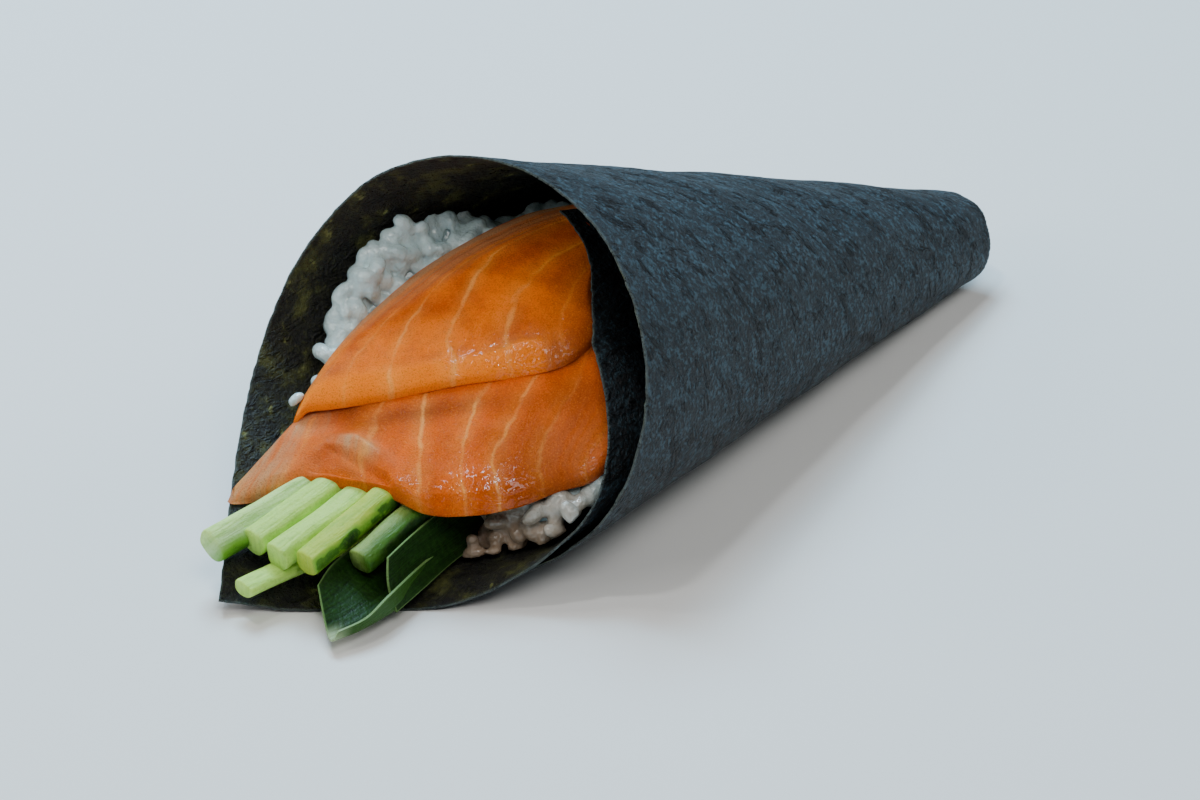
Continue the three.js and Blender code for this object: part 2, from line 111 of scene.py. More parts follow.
# The grains' paler and greyer tones. The core between them is painted darker: painted shade in the hollows
# between grains.
RICE_PALE = (0.68, 0.85, 0.86)
RICE_GREY_AND_SHADE = (0.50, 0.66, 0.68)
RICE_DEEP_SHADE = (0.34, 0.45, 0.46)
# painted shade in the near corner, browned by painted light bounced off the salmon
RICE_CORNER_SHADE = (0.34, 0.21, 0.115)

CUCUMBER_SKIN = (0.008, 0.035, 0.005)
CUCUMBER_UNDER_SKIN = (0.05, 0.17, 0.012)
CUCUMBER_GREEN = (0.17, 0.40, 0.03)
CUCUMBER_PALE = (0.52, 0.80, 0.16)
CUCUMBER_BLUISH = (0.46, 0.68, 0.27)
CUCUMBER_CORE = (0.62, 0.90, 0.26)
CUCUMBER_YELLOW = (0.46, 0.60, 0.06)
# painted shade: darker copies of the cucumber's colours, for the stick beside the leaves
CUCUMBER_SHADED = (0.07, 0.16, 0.015)
CUCUMBER_FLESH_IN_SHADE = (0.26, 0.38, 0.09)

LEAF_DARK = (0.003, 0.016, 0.001)
LEAF_LIGHT = (0.012, 0.050, 0.004)
LEAF_BAND = (0.04, 0.12, 0.012)
LEAF_EDGE = (0.15, 0.27, 0.08)
LEAF_TIP = (0.34, 0.44, 0.24)

MM = 0.001


def smooth(t):
    t = np.clip(t, 0, 1)
    return t * t * (3 - 2 * t)


def rise(value, start, over):
    """Goes smoothly from 0 at a start to 1 a length further on, which may be negative."""
    return smooth((value - start) / over)


def mix(a, b, t):
    return a + (b - a) * t


def unit(v):
    return v / np.linalg.norm(v, axis=-1, keepdims=True)


def sin_deg(angle):
    return np.sin(np.radians(angle))


def cos_deg(angle):
    return np.cos(np.radians(angle))


# ---- the cone ----


def slope(angle):
    """Radius of the cone for each millimetre along its axis, at an angle round it."""
    oval = OVALITY * cos_deg(2 * (angle - OVALITY_ANGLE))
    egg = EGG_SHAPE * cos_deg(3 * (angle - EGG_ANGLE))
    return math.tan(math.radians(HALF_ANGLE)) * (1 + oval + egg)


UNDERSIDE = np.arange(90, 271)
TILT = math.atan(np.max(-slope(UNDERSIDE) * cos_deg(UNDERSIDE)))
AXIS = np.array([0, -math.cos(TILT), math.sin(TILT)])
UP = np.array([0, math.sin(TILT), math.cos(TILT)])
SIDE = np.array([1.0, 0, 0])


def radial(angle):
    angle = np.asarray(angle, float)[..., None]
    return UP * cos_deg(angle) + SIDE * sin_deg(angle)


def cone_line(angle):
    return unit(AXIS + radial(angle) * np.asarray(slope(angle))[..., None])


def cone_normal(angle):
    tangent = cone_line(angle + 0.5) - cone_line(angle - 0.5)
    normal = unit(np.cross(tangent, cone_line(angle)))
    return normal * np.sign(np.sum(normal * radial(angle), -1))[..., None]


ROUND = np.arange(-120.0, 641.0, 1.0)  # more than all the angles that the sheet has
STEPS = np.arccos(np.clip(np.sum(cone_line(ROUND)[1:] * cone_line(ROUND)[:-1], -1), -1, 1))
TURNED = np.concatenate([[0], np.cumsum(STEPS)])


def unrolled(angle):
    """Angle on the flat sheet, seen from the apex, between the free corner and an angle."""
    return np.interp(angle, ROUND, TURNED) - np.interp(CORNER_ANGLE, ROUND, TURNED)


FOOT = math.atan2(APEX_TO_SHORT_EDGE, APEX_TO_LONG_EDGE)


def mouth_edge(angle):
    """Distance from the apex to the sheet's edge at the mouth."""
    turned = unrolled(angle)
    long_edge = APEX_TO_LONG_EDGE / np.cos(np.where(angle >= CORNER_ANGLE, turned - FOOT, 0))
    short = np.where(angle < CORNER_ANGLE, -turned - (math.pi / 2 - FOOT), 0)
    return np.where(angle >= CORNER_ANGLE, long_edge, APEX_TO_SHORT_EDGE / np.cos(short))


def tip_edge(angle):
    """Distance from the apex to the sheet's edge at the tip."""
    tight = np.minimum(0, angle - SLACK_FROM)
    turned = unrolled(angle - tight * (1 - TIGHTER))
    return (APEX_TO_LONG_EDGE - SHEET_WIDTH) / np.cos(turned - FOOT)


def inset(angle, distance):
    """How far the sheet's outer face lies inside the cone: the inner turn stands off."""
    outer_rim = mouth_edge(np.minimum(angle + 360, SEAM_ANGLE))
    tucked_under = TURN_GAP * rise(angle, *TURN_GAP_ANGLES) * (1 - rise(distance - outer_rim, *LIP))
    standing_off = SLACK * rise(angle, SLACK_FROM, SLACK_OVER)
    coming_back = END_RISE * rise(angle, *END_RISE_ANGLES)
    total = tucked_under + (standing_off - coming_back) * rise(distance, *SLACK_DISTANCES)
    return np.where(angle > INNER_TURN_TO, 0, total)


def sag(angle, distance):
    """How far the underside comes down onto the floor."""
    turn = np.mod(angle, 360)
    climb = cone_line(turn)[..., 2]
    share = 1 - rise(climb, SAG_RISE[0], SAG_RISE[1] - SAG_RISE[0])
    depth = climb * distance * share * (1 - rise(distance, *SAG_FADE))
    return np.where((turn < SAG_ANGLES[0]) | (turn > SAG_ANGLES[1]), 0, depth)


def dent(angle, distance):
    """Shallow dents all over, where two waves cross."""
    across = np.sin(2 * np.radians(angle) + distance / DENT_SLANT)
    along = np.sin(distance / DENT_RING + DENT_BEND * sin_deg(3 * angle))
    return DENT_DEPTH * across * along


def sheet_point(angle, distance, depth):
    """A point of the sheet, a depth below its outer face."""
    inward = inset(angle, distance) + dent(angle, distance) + depth
    point = cone_line(angle) * distance[..., None] - cone_normal(angle) * inward[..., None]
    point[..., 2] -= PRESSED_FLAT + sag(angle, distance)
    point[..., 2] = np.maximum(point[..., 2], np.maximum(depth, 0))
    return point


def filling_inset(angle, along):
    """How far from the cone the filling's outside lies: inside the innermost turn."""
    from_top = np.mod(angle - ROOM_FROM, 360) + ROOM_FROM
    inner_turn = inset(from_top, along) * rise(from_top, ROOM_FROM, ROOM_OVER)
    return NORI_THICKNESS + DENT_DEPTH + GAP + inner_turn


def keep_inside(points, margin):
    """Pulls points of the filling in towards the axis until they clear the nori."""
    raised = points + [0, 0, PRESSED_FLAT]
    along = raised @ AXIS
    up, side = raised @ UP, raised @ SIDE
    angle = np.degrees(np.arctan2(side, up))
    reach = np.hypot(up, side)
    room = (filling_inset(angle, along) + margin) / math.cos(math.radians(HALF_ANGLE))
    limit = along * slope(angle) - room
    back = np.maximum(0, reach - limit)
    inside = raised - radial(angle) * back[..., None]
    inside[..., 2] = np.maximum(inside[..., 2], NORI_THICKNESS + PRESSED_FLAT + margin)
    return inside - [0, 0, PRESSED_FLAT]


# ---- helpers for meshes ----


SHIFT = np.array([1.73, 109.62, 0])  # from the cone's apex to the part's own origin
SEED_STEP = 17.3  # how far apart the noise of two seeds is read


def to_world(points):
    return (np.asarray(points) + SHIFT) * MM


def vertices_of(mesh):
    return np.array([v.co for v in mesh.vertices])


def add_object(name, data):
    item = bpy.data.objects.new(name, data)
    bpy.context.scene.collection.objects.link(item)
    return item


def add_mesh(name, points, faces, sharp=50):
    """A smooth mesh object from points in the roll's coordinates."""
    mesh = bpy.data.meshes.new(name)
    mesh.from_pydata(to_world(points).tolist(), [], faces)
    mesh.shade_smooth()
    mesh.set_sharp_from_angle(angle=math.radians(sharp))
    return add_object(name, mesh)


def add_slab(name, grids, sharp=50):
    """A closed slab between two grids of points."""
    columns, rows = grids[0].shape[0] - 1, grids[0].shape[1] - 1
    points = np.concatenate([grid.reshape(-1, 3) for grid in grids])
    return add_mesh(name, points, slab_faces(columns, rows), sharp)


def add_map(piece, name, *values):
    """A UV map of two values for each point, which the two grids of a slab may share."""
    pairs = np.stack(np.broadcast_arrays(*values), -1).reshape(-1, 2).astype(np.float32)
    pairs = np.tile(pairs, (len(piece.data.vertices) // len(pairs), 1))
    layer = piece.data.uv_layers.new(name=name)
    corner = np.empty(len(piece.data.loops), np.int32)
    piece.data.loops.foreach_get("vertex_index", corner)
    layer.data.foreach_set("uv", pairs[corner].ravel())


def apply_modifiers(piece):
    evaluated = piece.evaluated_get(bpy.context.evaluated_depsgraph_get())
    mesh = bpy.data.meshes.new_from_object(evaluated)
    piece.modifiers.clear()
    piece.data = mesh
    mesh.shade_smooth()


def slab_faces(columns, rows):
    """Faces of a closed slab between two grids of points, one after the other."""
    count = (columns + 1) * (rows + 1)
    faces = []
    for i in range(columns):
        for j in range(rows):
            a, b = i * (rows + 1) + j, (i + 1) * (rows + 1) + j
            faces.append((a, b, b + 1, a + 1))
            faces.append((a + 1 + count, b + 1 + count, b + count, a + count))
    grid = np.arange(count).reshape(columns + 1, rows + 1)
    rim = np.concatenate([grid[:-1, 0], grid[-1, :-1], grid[:0:-1, -1], grid[0, :0:-1]]).tolist()
    for a, b in zip(rim, rim[1:] + rim[:1]):
        faces.append((b, a, a + count, b + count))
    return faces


def tube_faces(rings, sides):
    """Faces between rings of points, one ring after the other."""
    faces = []
    for k in range(rings - 1):
        for i in range(sides):
            j = (i + 1) % sides
            faces.append((k * sides + i, k * sides + j, (k + 1) * sides + j, (k + 1) * sides + i))
    return faces


def noise_at(points, scale, seed=0):
    """Gradient noise from about -1 to 1, for points of any array shape."""
    flat = (np.asarray(points) * scale + seed * SEED_STEP).reshape(-1, 3)
    values = [noise.noise(Vector(p)) for p in flat]
    return np.array(values).reshape(np.asarray(points).shape[:-1])


def curve_at(points, t):
    """Catmull-Rom curve through points, at shares t of its way."""
    points = np.asarray(points, float)
    before, after = 2 * points[0] - points[1], 2 * points[-1] - points[-2]
    p = np.concatenate([[before], points, [after]])
    at = np.clip(np.asarray(t, float), 0, 1) * (len(points) - 1)
    k = np.minimum(at.astype(int), len(points) - 2)
    f = (at - k)[..., None]
    a, b, c, d = p[k], p[k + 1], p[k + 2], p[k + 3]
    square = 2 * a - 5 * b + 4 * c - d
    cube = 3 * b - a - 3 * c + d
    return 0.5 * (2 * b + (c - a) * f + square * f**2 + cube * f**3)


def finished(piece, node, material):
    piece.data.materials.append(material)
    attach(piece, "root")
    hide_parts(node)
    return piece


# ---- materials ----
# Noise scales are for a metre of the object or a unit of a UV map. Bump distances are metres.

MIX_INPUTS, MIX_RESULT = (0, 6, 7), 2  # a Mix node's sockets for a share and two colours


class Shader:
    """A material's node tree, with short calls to add nodes and link them."""

    def __init__(self, name):
        self.material = bpy.data.materials.new(name)
        self.material.use_nodes = True
        self.tree = self.material.node_tree
        self.surface = self.tree.nodes["Principled BSDF"]

    def add(self, kind, inputs=(), **settings):
        node = self.tree.nodes.new("ShaderNode" + kind)
        for key, value in settings.items():
            setattr(node, key, value)
        for key, value in dict(inputs).items():
            self.set(node.inputs[key], value)
        return node

    def set(self, socket, value):
        if isinstance(value, bpy.types.NodeSocket):
            self.tree.links.new(value, socket)
        elif isinstance(value, tuple) and len(value) == 3 and socket.type == "RGBA":
            socket.default_value = (*value, 1)
        else:
            socket.default_value = value

    def base(self, **values):
        """Sets sockets of the surface's own shader."""
        for key, value in values.items():
            self.set(self.surface.inputs[key.replace("_", " ")], value)

    def place(self):
        """Object coordinates in metres."""
        return self.add("TexCoord").outputs["Object"]

    def uv(self, name):
        """The two values that a UV map holds."""
        axes = self.add("SeparateXYZ", {0: self.add("UVMap", uv_map=name).outputs[0]})
        return axes.outputs[0], axes.outputs[1]

    def noise(self, vector, scale, detail=3.0, roughness=0.5, distortion=0.0):
        inputs = {"Vector": vector, "Scale": scale, "Detail": detail, "Roughness": roughness}
        return self.add("TexNoise", {**inputs, "Distortion": distortion}).outputs[0]

    def flat_noise(self, stretch, detail=3.0, roughness=0.5, distortion=0.0, scale=1.0):
        """Noise over the UV map "flat", stretched along U and V."""
        coordinates = self.add("UVMap", uv_map="flat").outputs[0]
        place = self.add("Mapping", {"Vector": coordinates, "Scale": (*stretch, 1)}).outputs[0]
        return self.noise(place, scale, detail, roughness, distortion)

    def ramp(self, value, stops):
        """Colours at places from 0 to 1."""
        node = self.add("ValToRGB", {"Fac": value})
        band = node.color_ramp
        while len(band.elements) < len(stops):
            band.elements.new(0.5)
        for element, (at, colour) in zip(band.elements, stops):
            element.position = at
            element.color = (*colour, 1)
        return node.outputs[0]

    def range(self, value, low, high, to_low=0.0, to_high=1.0):
        """Goes smoothly from to_low to to_high as a value goes from low to high."""
        inputs = {"Value": value, "From Min": low, "From Max": high, "To Min": to_low, "To Max": to_high}
        return self.add("MapRange", inputs, interpolation_type="SMOOTHSTEP").outputs[0]

    def math(self, operation, a, b=0.0):
        return self.add("Math", {0: a, 1: b}, operation=operation).outputs[0]

    def from_half(self, value):
        return self.math("ABSOLUTE", self.math("SUBTRACT", value, 0.5))

    def mix(self, share, a, b):
        node = self.add("Mix", data_type="RGBA")
        for socket, value in zip(MIX_INPUTS, (share, a, b)):
            self.set(node.inputs[socket], value)
        return node.outputs[MIX_RESULT]

    def bump(self, height, distance, after=None):
        """Normals of a relief, on top of the relief that comes after."""
        inputs = {"Height": height, "Distance": distance}
        if after is not None:
            inputs["Normal"] = after
        return self.add("Bump", inputs).outputs[0]


def nori_creases(shader):
    """1 in the sheet's broken creases and 0 away from them."""
    ridge = shader.from_half(shader.flat_noise((1.0, 3.0), 4, 0.55, 1.2))
    broken = shader.range(shader.flat_noise((1.4, 2.2), 2, scale=1.7), 0.5, 0.58)
    return shader.math("MULTIPLY", shader.range(ridge, 0.0, 0.055, 1.0, 0.0), broken)


def nori_inside(shader, place, blotch, fleck):
    """Olive in blotches, with pale specks."""
    olive = shader.ramp(blotch, [(0.42, OLIVE_DARK), (0.53, OLIVE_MIDDLE), (0.66, OLIVE_LIGHT)])
    olive = shader.mix(shader.range(fleck, 0.5, 0.7, 0, 0.35), olive, OLIVE_LIGHT)
    speck = shader.range(shader.noise(place, 420, 2, 0.5), 0.68, 0.74)
    return shader.mix(shader.math("MULTIPLY", speck, 0.7), olive, OLIVE_SPECK)


def nori_material():
    """Roasted seaweed: near-black under a painted blue-grey sheen and crinkled outside, olive and speckled
    inside.

    U of the UV map "flat" runs along the sheet's creases and V across them. The map "side"
    is 0 or 1 for the outer or inner face in U, and the distance from the cut edge in V.
    """
    shader = Shader("nori")
    place = shader.place()
    face, from_edge = shader.uv("side")
    blotch = shader.noise(place, 210, 4, 0.6)
    fleck = shader.noise(place, 1500, 3, 0.65)
    fibre = shader.flat_noise((2.6, 7), 5, 0.65, 1.0)
    tone = shader.mix(0.42, fleck, fibre)
    crease = nori_creases(shader)
    # painted sheen: the outer face is blue-grey where cool light reflects from it
    outside = shader.ramp(tone, [(0.46, NORI_SHEEN_DARK), (0.515, NORI_SHEEN_MIDDLE), (0.585, NORI_SHEEN_LIGHT)])
    outside = shader.mix(shader.range(blotch, 0.4, 0.62, 0.0, 0.25), outside, NORI_SHEEN_MIDDLE)
    # painted shade in the creases
    outside = shader.mix(shader.math("MULTIPLY", crease, 0.95), outside, NORI_CREASE_SHADE)
    inside = nori_inside(shader, place, blotch, fleck)
    colour = shader.mix(shader.range(face, 0.4, 0.6), outside, inside)
    rim = shader.math("MULTIPLY", shader.range(from_edge, 0.2, 0.5, 1.0, 0.0), fleck)
    shader.base(Base_Color=shader.mix(rim, colour, NORI_RIM), Roughness=0.62)
    fine = shader.bump(tone, 0.0019)
    sunk = shader.math("MULTIPLY", crease, -1.0)
    shader.base(Normal=shader.bump(sunk, 0.001, after=fine))
    return shader.material


def rice_material(name, darker, pale, corner_shaded=False):
    """Moist rice. For the grains, U of the UV map "flat" says how much painted shade they take in the near
    corner, brown with painted light bounced off the salmon.
    """
    shader = Shader(name)
    place = shader.place()
    colour = shader.ramp(shader.noise(place, 300, 3), [(0.35, darker), (0.65, pale)])
    if corner_shaded:
        colour = shader.mix(shader.uv("flat")[0], colour, RICE_CORNER_SHADE)
    shader.base(Base_Color=colour, Roughness=0.2, Coat_Weight=0.7, Coat_Roughness=0.05)
    shader.base(Subsurface_Weight=0.3, Subsurface_Scale=0.0015, Subsurface_Radius=(1.0, 0.9, 0.75))
    fine = shader.bump(shader.noise(place, 1500, 3, 0.6), 0.00028)
    shader.base(Normal=shader.bump(shader.noise(place, 420, 2, 0.5), 0.0006, after=fine))
    return shader.material


def salmon_flesh(shader, place, along, across, paleness, bright):
    """Orange in clouds, paler on one side of each line of fat and where the slice is thin."""
    flesh = shader.ramp(shader.noise(place, 130, 5, 0.65), [(0.38, SALMON_DEEP), (0.6, bright)])
    between = shader.math("FRACT", along)
    flesh = shader.mix(shader.range(between, 0.35, 1.0, 0.0, 0.18), flesh, SALMON_PALE)
    streak = shader.flat_noise((5, 0.8), 3, 0.6)
    at_rim = shader.math("MAXIMUM", shader.range(across, 0.62, 0.95), shader.range(along, 0.3, -0.8))
    thin = shader.math("MULTIPLY", at_rim, shader.range(streak, 0.35, 0.65, 0.35, 1.0))
    pale = shader.math("MULTIPLY", paleness, shader.range(streak, 0.38, 0.6, 0.5, 1.0))
    return shader.mix(shader.math("MAXIMUM", thin, pale), flesh, SALMON_THIN)


def salmon_fat(shader, place, along, strengths):
    """How much fat shows: a narrow core and a wide halo at each whole number along."""
    stops = [((k + 1) / (len(strengths) + 1), (s, s, s)) for k, s in enumerate(strengths)]
    which = shader.math("DIVIDE", shader.math("ADD", along, 1.0), len(strengths) + 1.0)
    from_middle = shader.from_half(shader.math("FRACT", along))
    core = shader.range(from_middle, 0.4, 0.5, 0.0, 0.8)
    halo = shader.range(from_middle, 0.1, 0.5, 0.0, 0.22)
    line = shader.math("MULTIPLY", shader.math("MAXIMUM", core, halo), shader.ramp(which, stops))
    patchy = shader.range(shader.noise(place, 170, 4, 0.6), 0.36, 0.62, 0.3, 1.0)
    return shader.math("MULTIPLY", line, patchy)


def salmon_material(name, bright, strengths, lit_side):
    """Orange flesh with pale lines of fat at whole numbers of the UV map's U, 0 to 1 along V.

    There is a strength for each line. The cut side under the front edge is painted a brighter
    orange, painted light where the front light falls on it and shines through, as far as the
    last argument says. The map "tint" says how pale and how wet the flesh is. "shade" says how
    much painted shade the flesh takes, and how many millimetres it lies from the cut side.
    """
    shader = Shader(name)
    place = shader.place()
    along, across = shader.uv("flat")
    paleness, wetness = shader.uv("tint")
    painted_shade, from_side = shader.uv("shade")
    stray = shader.range(shader.noise(place, 140, 2, 0.5), 0.2, 0.8, -0.12, 0.12)
    along = shader.math("ADD", along, stray)
    flesh = salmon_flesh(shader, place, along, across, paleness, bright)
    # painted shade where the nori's rim and the upper slice shade the flesh
    flesh = shader.mix(painted_shade, flesh, SALMON_SHADE_AND_FLECK)
    # painted light on the cut side under the front edge
    flesh = shader.mix(shader.range(from_side, 1.8, 4.2, lit_side, 0.0), flesh, SALMON_LIT_SIDE)
    flesh = shader.mix(salmon_fat(shader, place, along, strengths), flesh, SALMON_FAT)
    speckle = shader.noise(place, 4000, 2, 0.7)
    flesh = shader.mix(shader.range(speckle, 0.5, 0.3, 0.0, 0.4), flesh, SALMON_SHADE_AND_FLECK)
    flesh = shader.mix(shader.range(speckle, 0.54, 0.72, 0.0, 0.3), flesh, SALMON_SPECK)
    shader.base(Base_Color=flesh, Roughness=0.45)
    shader.base(Specular_IOR_Level=0.12, Specular_Tint=(1.0, 0.55, 0.3))
    shader.base(Subsurface_Weight=0.12, Subsurface_Scale=0.0015, Subsurface_Radius=(1.0, 0.3, 0.1))
    grain = shader.bump(speckle, 0.00012)
    fibres = shader.flat_noise((1.5, 22), 3, 0.6, scale=3)
    shader.base(Normal=shader.bump(fibres, 0.00006, after=grain))
    ripple = shader.noise(place, 420, 0, 0.5, 2.0)
    shader.base(Coat_Weight=shader.range(wetness, 0.0, 1.0, 0.02, 0.8), Coat_Roughness=0.06)
    shader.base(Coat_Normal=shader.bump(ripple, 0.0006))
    return shader.material


def cucumber_material(name, flesh, core, rind=0.27, green=CUCUMBER_GREEN):
    """Dark skin, then green down to the rind's depth, then flesh, and the core inside.

    U of the UV map is the depth below the skin and V runs along the stick. Both are in
    units of 10 mm, as is the rind.
    """
    shader = Shader(name)
    place = shader.place()
    uneven = shader.range(shader.noise(place, 260, 3), 0.2, 0.8, -0.04, 0.04)
    depth = shader.math("ADD", shader.uv("flat")[0], uneven)
    outer = [(0.0, CUCUMBER_SKIN), (0.04, CUCUMBER_UNDER_SKIN), (0.4 * rind, green)]
    colour = shader.ramp(depth, [*outer, (rind, flesh), (0.6, core)])
    mottle = shader.noise(place, 1800, 3, 0.65)
    colour = shader.mix(shader.range(mottle, 0.5, 0.3, 0.0, 0.3), colour, green)
    streak = shader.flat_noise((6, 0.9), 4, 0.6)
    colour = shader.mix(shader.range(streak, 0.52, 0.36, 0.0, 0.4), colour, green)
    shader.base(Base_Color=colour, Roughness=0.45, Specular_IOR_Level=0.25)
    shader.base(Subsurface_Weight=0.3, Subsurface_Scale=0.002, Subsurface_Radius=(0.8, 1.0, 0.4))
    grooves = shader.bump(shader.flat_noise((14, 1.2), 4, 0.6), 0.0004)
    shader.base(Normal=shader.bump(mottle, 0.00015, after=grooves))
    return shader.material


def leaf_material(name, band, tip_paleness):
    """U of the UV map runs along the leaf, V across it from edge to edge, both 0 to 1.

    The far part across is lighter, as far as the band says, and so is the tip.
    """
    shader = Shader(name)
    along, across = shader.uv("flat")
    veins = shader.flat_noise((1.2, 26))
    speckle = shader.noise(shader.place(), 1500, 3, 0.6)
    tone = shader.math("MULTIPLY", shader.math("ADD", veins, speckle), 0.5)
    green = shader.ramp(tone, [(0.38, LEAF_DARK), (0.62, LEAF_LIGHT)])
    green = shader.mix(shader.range(across, 0.62, 0.78, 0.0, band), green, LEAF_BAND)
    edge = shader.range(shader.from_half(across), 0.475, 0.5, 0.0, 0.8)
    end = shader.range(along, 0.0, 0.012, 0.8, 0.0)
    colour = shader.mix(shader.math("MAXIMUM", edge, end), green, LEAF_EDGE)
    low = shader.range(across, 0.45, 0.62)
    low = shader.math("MULTIPLY", low, shader.range(across, 0.75, 0.95, 1.0, 0.5))
    tip = shader.math("MULTIPLY", shader.range(along, 0.0, 0.16, tip_paleness, 0.0), low)
    shader.base(Base_Color=shader.mix(tip, colour, LEAF_TIP))
    shader.base(Roughness=0.5, Specular_IOR_Level=0.2)
    shader.base(Normal=shader.bump(tone, 0.0003))
    return shader.material


# ---- nori ----

INNER_COLUMNS, OUTER_COLUMNS, SHEET_ROWS = 90, 240, 148
FLAT_UNIT = 10  # millimetres in one unit of the UV map "flat" of nori and cucumber
CREASE_ANGLE = math.radians(45)  # between the creases and the sheet's long way, on the flat sheet
RAG_DEPTH = 0.2
RAG_COARSE, RAG_FINE, RAG_FINE_SHARE = 0.3, 1.1, 0.8
# Depth, scale along and across the creases, and seed of each kind of wave.
NORI_WAVES = [(0.14, (0.06, 0.13, 1), 1), (0.12, (0.12, 0.35, 1), 2), (0.06, (0.4, 0.9, 1), 3)]
CREASE_DEPTH, CREASE_WIDTH, CREASE_SCALE = 0.16, 0.1, (0.09, 0.3, 1)
CREASED_PLACES, CREASED_SHARPNESS = 0.09, 3
RELIEF_OUT, RELIEF_IN = -0.14, 0.3
RELIEF_SUNK = 0.15  # keeps the highest places inside the CAD's outer face


def ragged(angle):
    """How far the cut edges stray at each angle."""
    coarse = np.array([noise.noise(Vector((a * RAG_COARSE, 3.1, 0))) for a in angle])
    fine = np.array([noise.noise(Vector((a * RAG_FINE, 9.4, 0))) for a in angle])
    return RAG_DEPTH * (coarse + RAG_FINE_SHARE * fine)[:, None]


def along_creases(grid, distance):
    """Places on the flat sheet, along and across its creases."""
    turned = unrolled(grid) - FOOT
    across_sheet, up_sheet = distance * np.sin(turned), distance * np.cos(turned)
    along = across_sheet * math.sin(CREASE_ANGLE) - up_sheet * math.cos(CREASE_ANGLE)
    across = across_sheet * math.cos(CREASE_ANGLE) + up_sheet * math.sin(CREASE_ANGLE)
    return np.stack([along, across, 0 * along], -1)


def sheet_relief(flat):
    """How far the faces are sunk by soft waves and by creases."""
    wave = sum(depth * noise_at(flat, scale, seed) for depth, scale, seed in NORI_WAVES)
    fold = np.clip(1 - np.abs(noise_at(flat, CREASE_SCALE, 4)) / CREASE_WIDTH, 0, 1)
    creased = np.clip(noise_at(flat, CREASED_PLACES, 5) * CREASED_SHARPNESS, 0, 1)
    crease = CREASE_DEPTH * fold * creased
    return np.clip(wave + crease, RELIEF_OUT, RELIEF_IN) + RELIEF_SUNK


def nori_sheet():
    inner = np.linspace(INNER_END_ANGLE, CORNER_ANGLE, INNER_COLUMNS + 1)
    outer = np.linspace(CORNER_ANGLE, SEAM_ANGLE, OUTER_COLUMNS + 1)[1:]
    angle = np.concatenate([inner, outer])
    grid = np.repeat(angle[:, None], SHEET_ROWS + 1, 1)
    share = np.linspace(0, 1, SHEET_ROWS + 1)[None, :]
    rag = ragged(angle)
    distance = mix(tip_edge(grid) - rag, mouth_edge(grid) + rag, share)
    flat = along_creases(grid, distance)
    sunk = sheet_relief(flat)
    sides = [sheet_point(grid, distance, sunk + depth) for depth in (0, NORI_THICKNESS)]
    piece = add_slab("nori_sheet", sides)
    add_map(piece, "flat", flat[..., 0] / FLAT_UNIT, flat[..., 1] / FLAT_UNIT)
    from_edge = np.minimum(mouth_edge(grid) + rag - distance, distance - tip_edge(grid) + rag)
    is_inner = np.array([0, 1])[:, None, None]
    add_map(piece, "side", is_inner, from_edge)
    return finished(piece, "nori", nori_material())


# ---- salmon ----

# Seen from above: a slice's two long edges from its tip to its hidden end, and its lines of
# fat. Hills and the places that are pale, wet or dark have each their middle, two radii,
# turn in degrees and height or strength. The dark places are painted shade; the pale place
# on the upper slice's lobe is a painted sheen, and the other pale places are paler flesh.
UPPER_SLICE = {
    "lift": 1.5,
    "front": [
        (-20.8, -159.6), (-17.2, -158.8), (-9.9, -153.7), (-0.9, -146),
        (7, -139.5), (12, -132.5), (11.5, -122), (8, -109),
    ],
    "back": [
        (-22, -157.5), (-24.2, -146), (-24.3, -139), (-22.8, -130),
        (-17.5, -118.7), (-12, -113), (-4, -108),
    ],
    "lines": [
        [(-19.8, -160), (-21.3, -150), (-21, -139), (-18.6, -129), (-14, -120), (-9, -113)],
        [(-14.5, -157), (-17.5, -149), (-18.4, -139), (-16.8, -129), (-12.6, -120), (-7, -113)],
        [
            (-8.5, -152.5), (-11.5, -148), (-14.2, -143), (-15.9, -136),
            (-15.1, -128), (-11, -120.5), (-5, -113),
        ],
        [
            (1.1, -146), (-3.5, -143.3), (-8.1, -139), (-11.6, -132),
            (-12.2, -127), (-9.1, -119.1), (-3, -112),
        ],
        [(6, -140), (0, -136.5), (-1.8, -132), (-3.7, -125.3), (-0.9, -118.2), (3, -111)],
        [(11, -134), (7, -132), (3.8, -127), (3.2, -121), (6, -113)],
    ],
    "crown": 1.0,
    "curl": 0.3,
    "edge_radius": 2.4,
    "hills": [
        (6.8, -136.6, 6, 2.2, 34, 1.9), (-4.6, -142.6, 2.2, 0.7, -35, 0.8), (-0.5, -139, 4, 2, 34, -0.7),
    ],
    # the first pale place, on the lobe, is a painted sheen; the second is the paler end of the slice
    "pale": [(6.5, -136, 7, 3, 32, 0.45), (-21, -158, 4, 6, 0, 0.5)],
    "wet": [(5, -137, 8, 3, 30, 0.9), (-4, -142.6, 2.4, 1.2, -35, 1.0)],
    # painted shade where the nori's rim shades the flesh
    "dark": [(9, -120, 9, 11, 0, 0.75), (12, -128, 4, 8, 0, 0.5)],
}
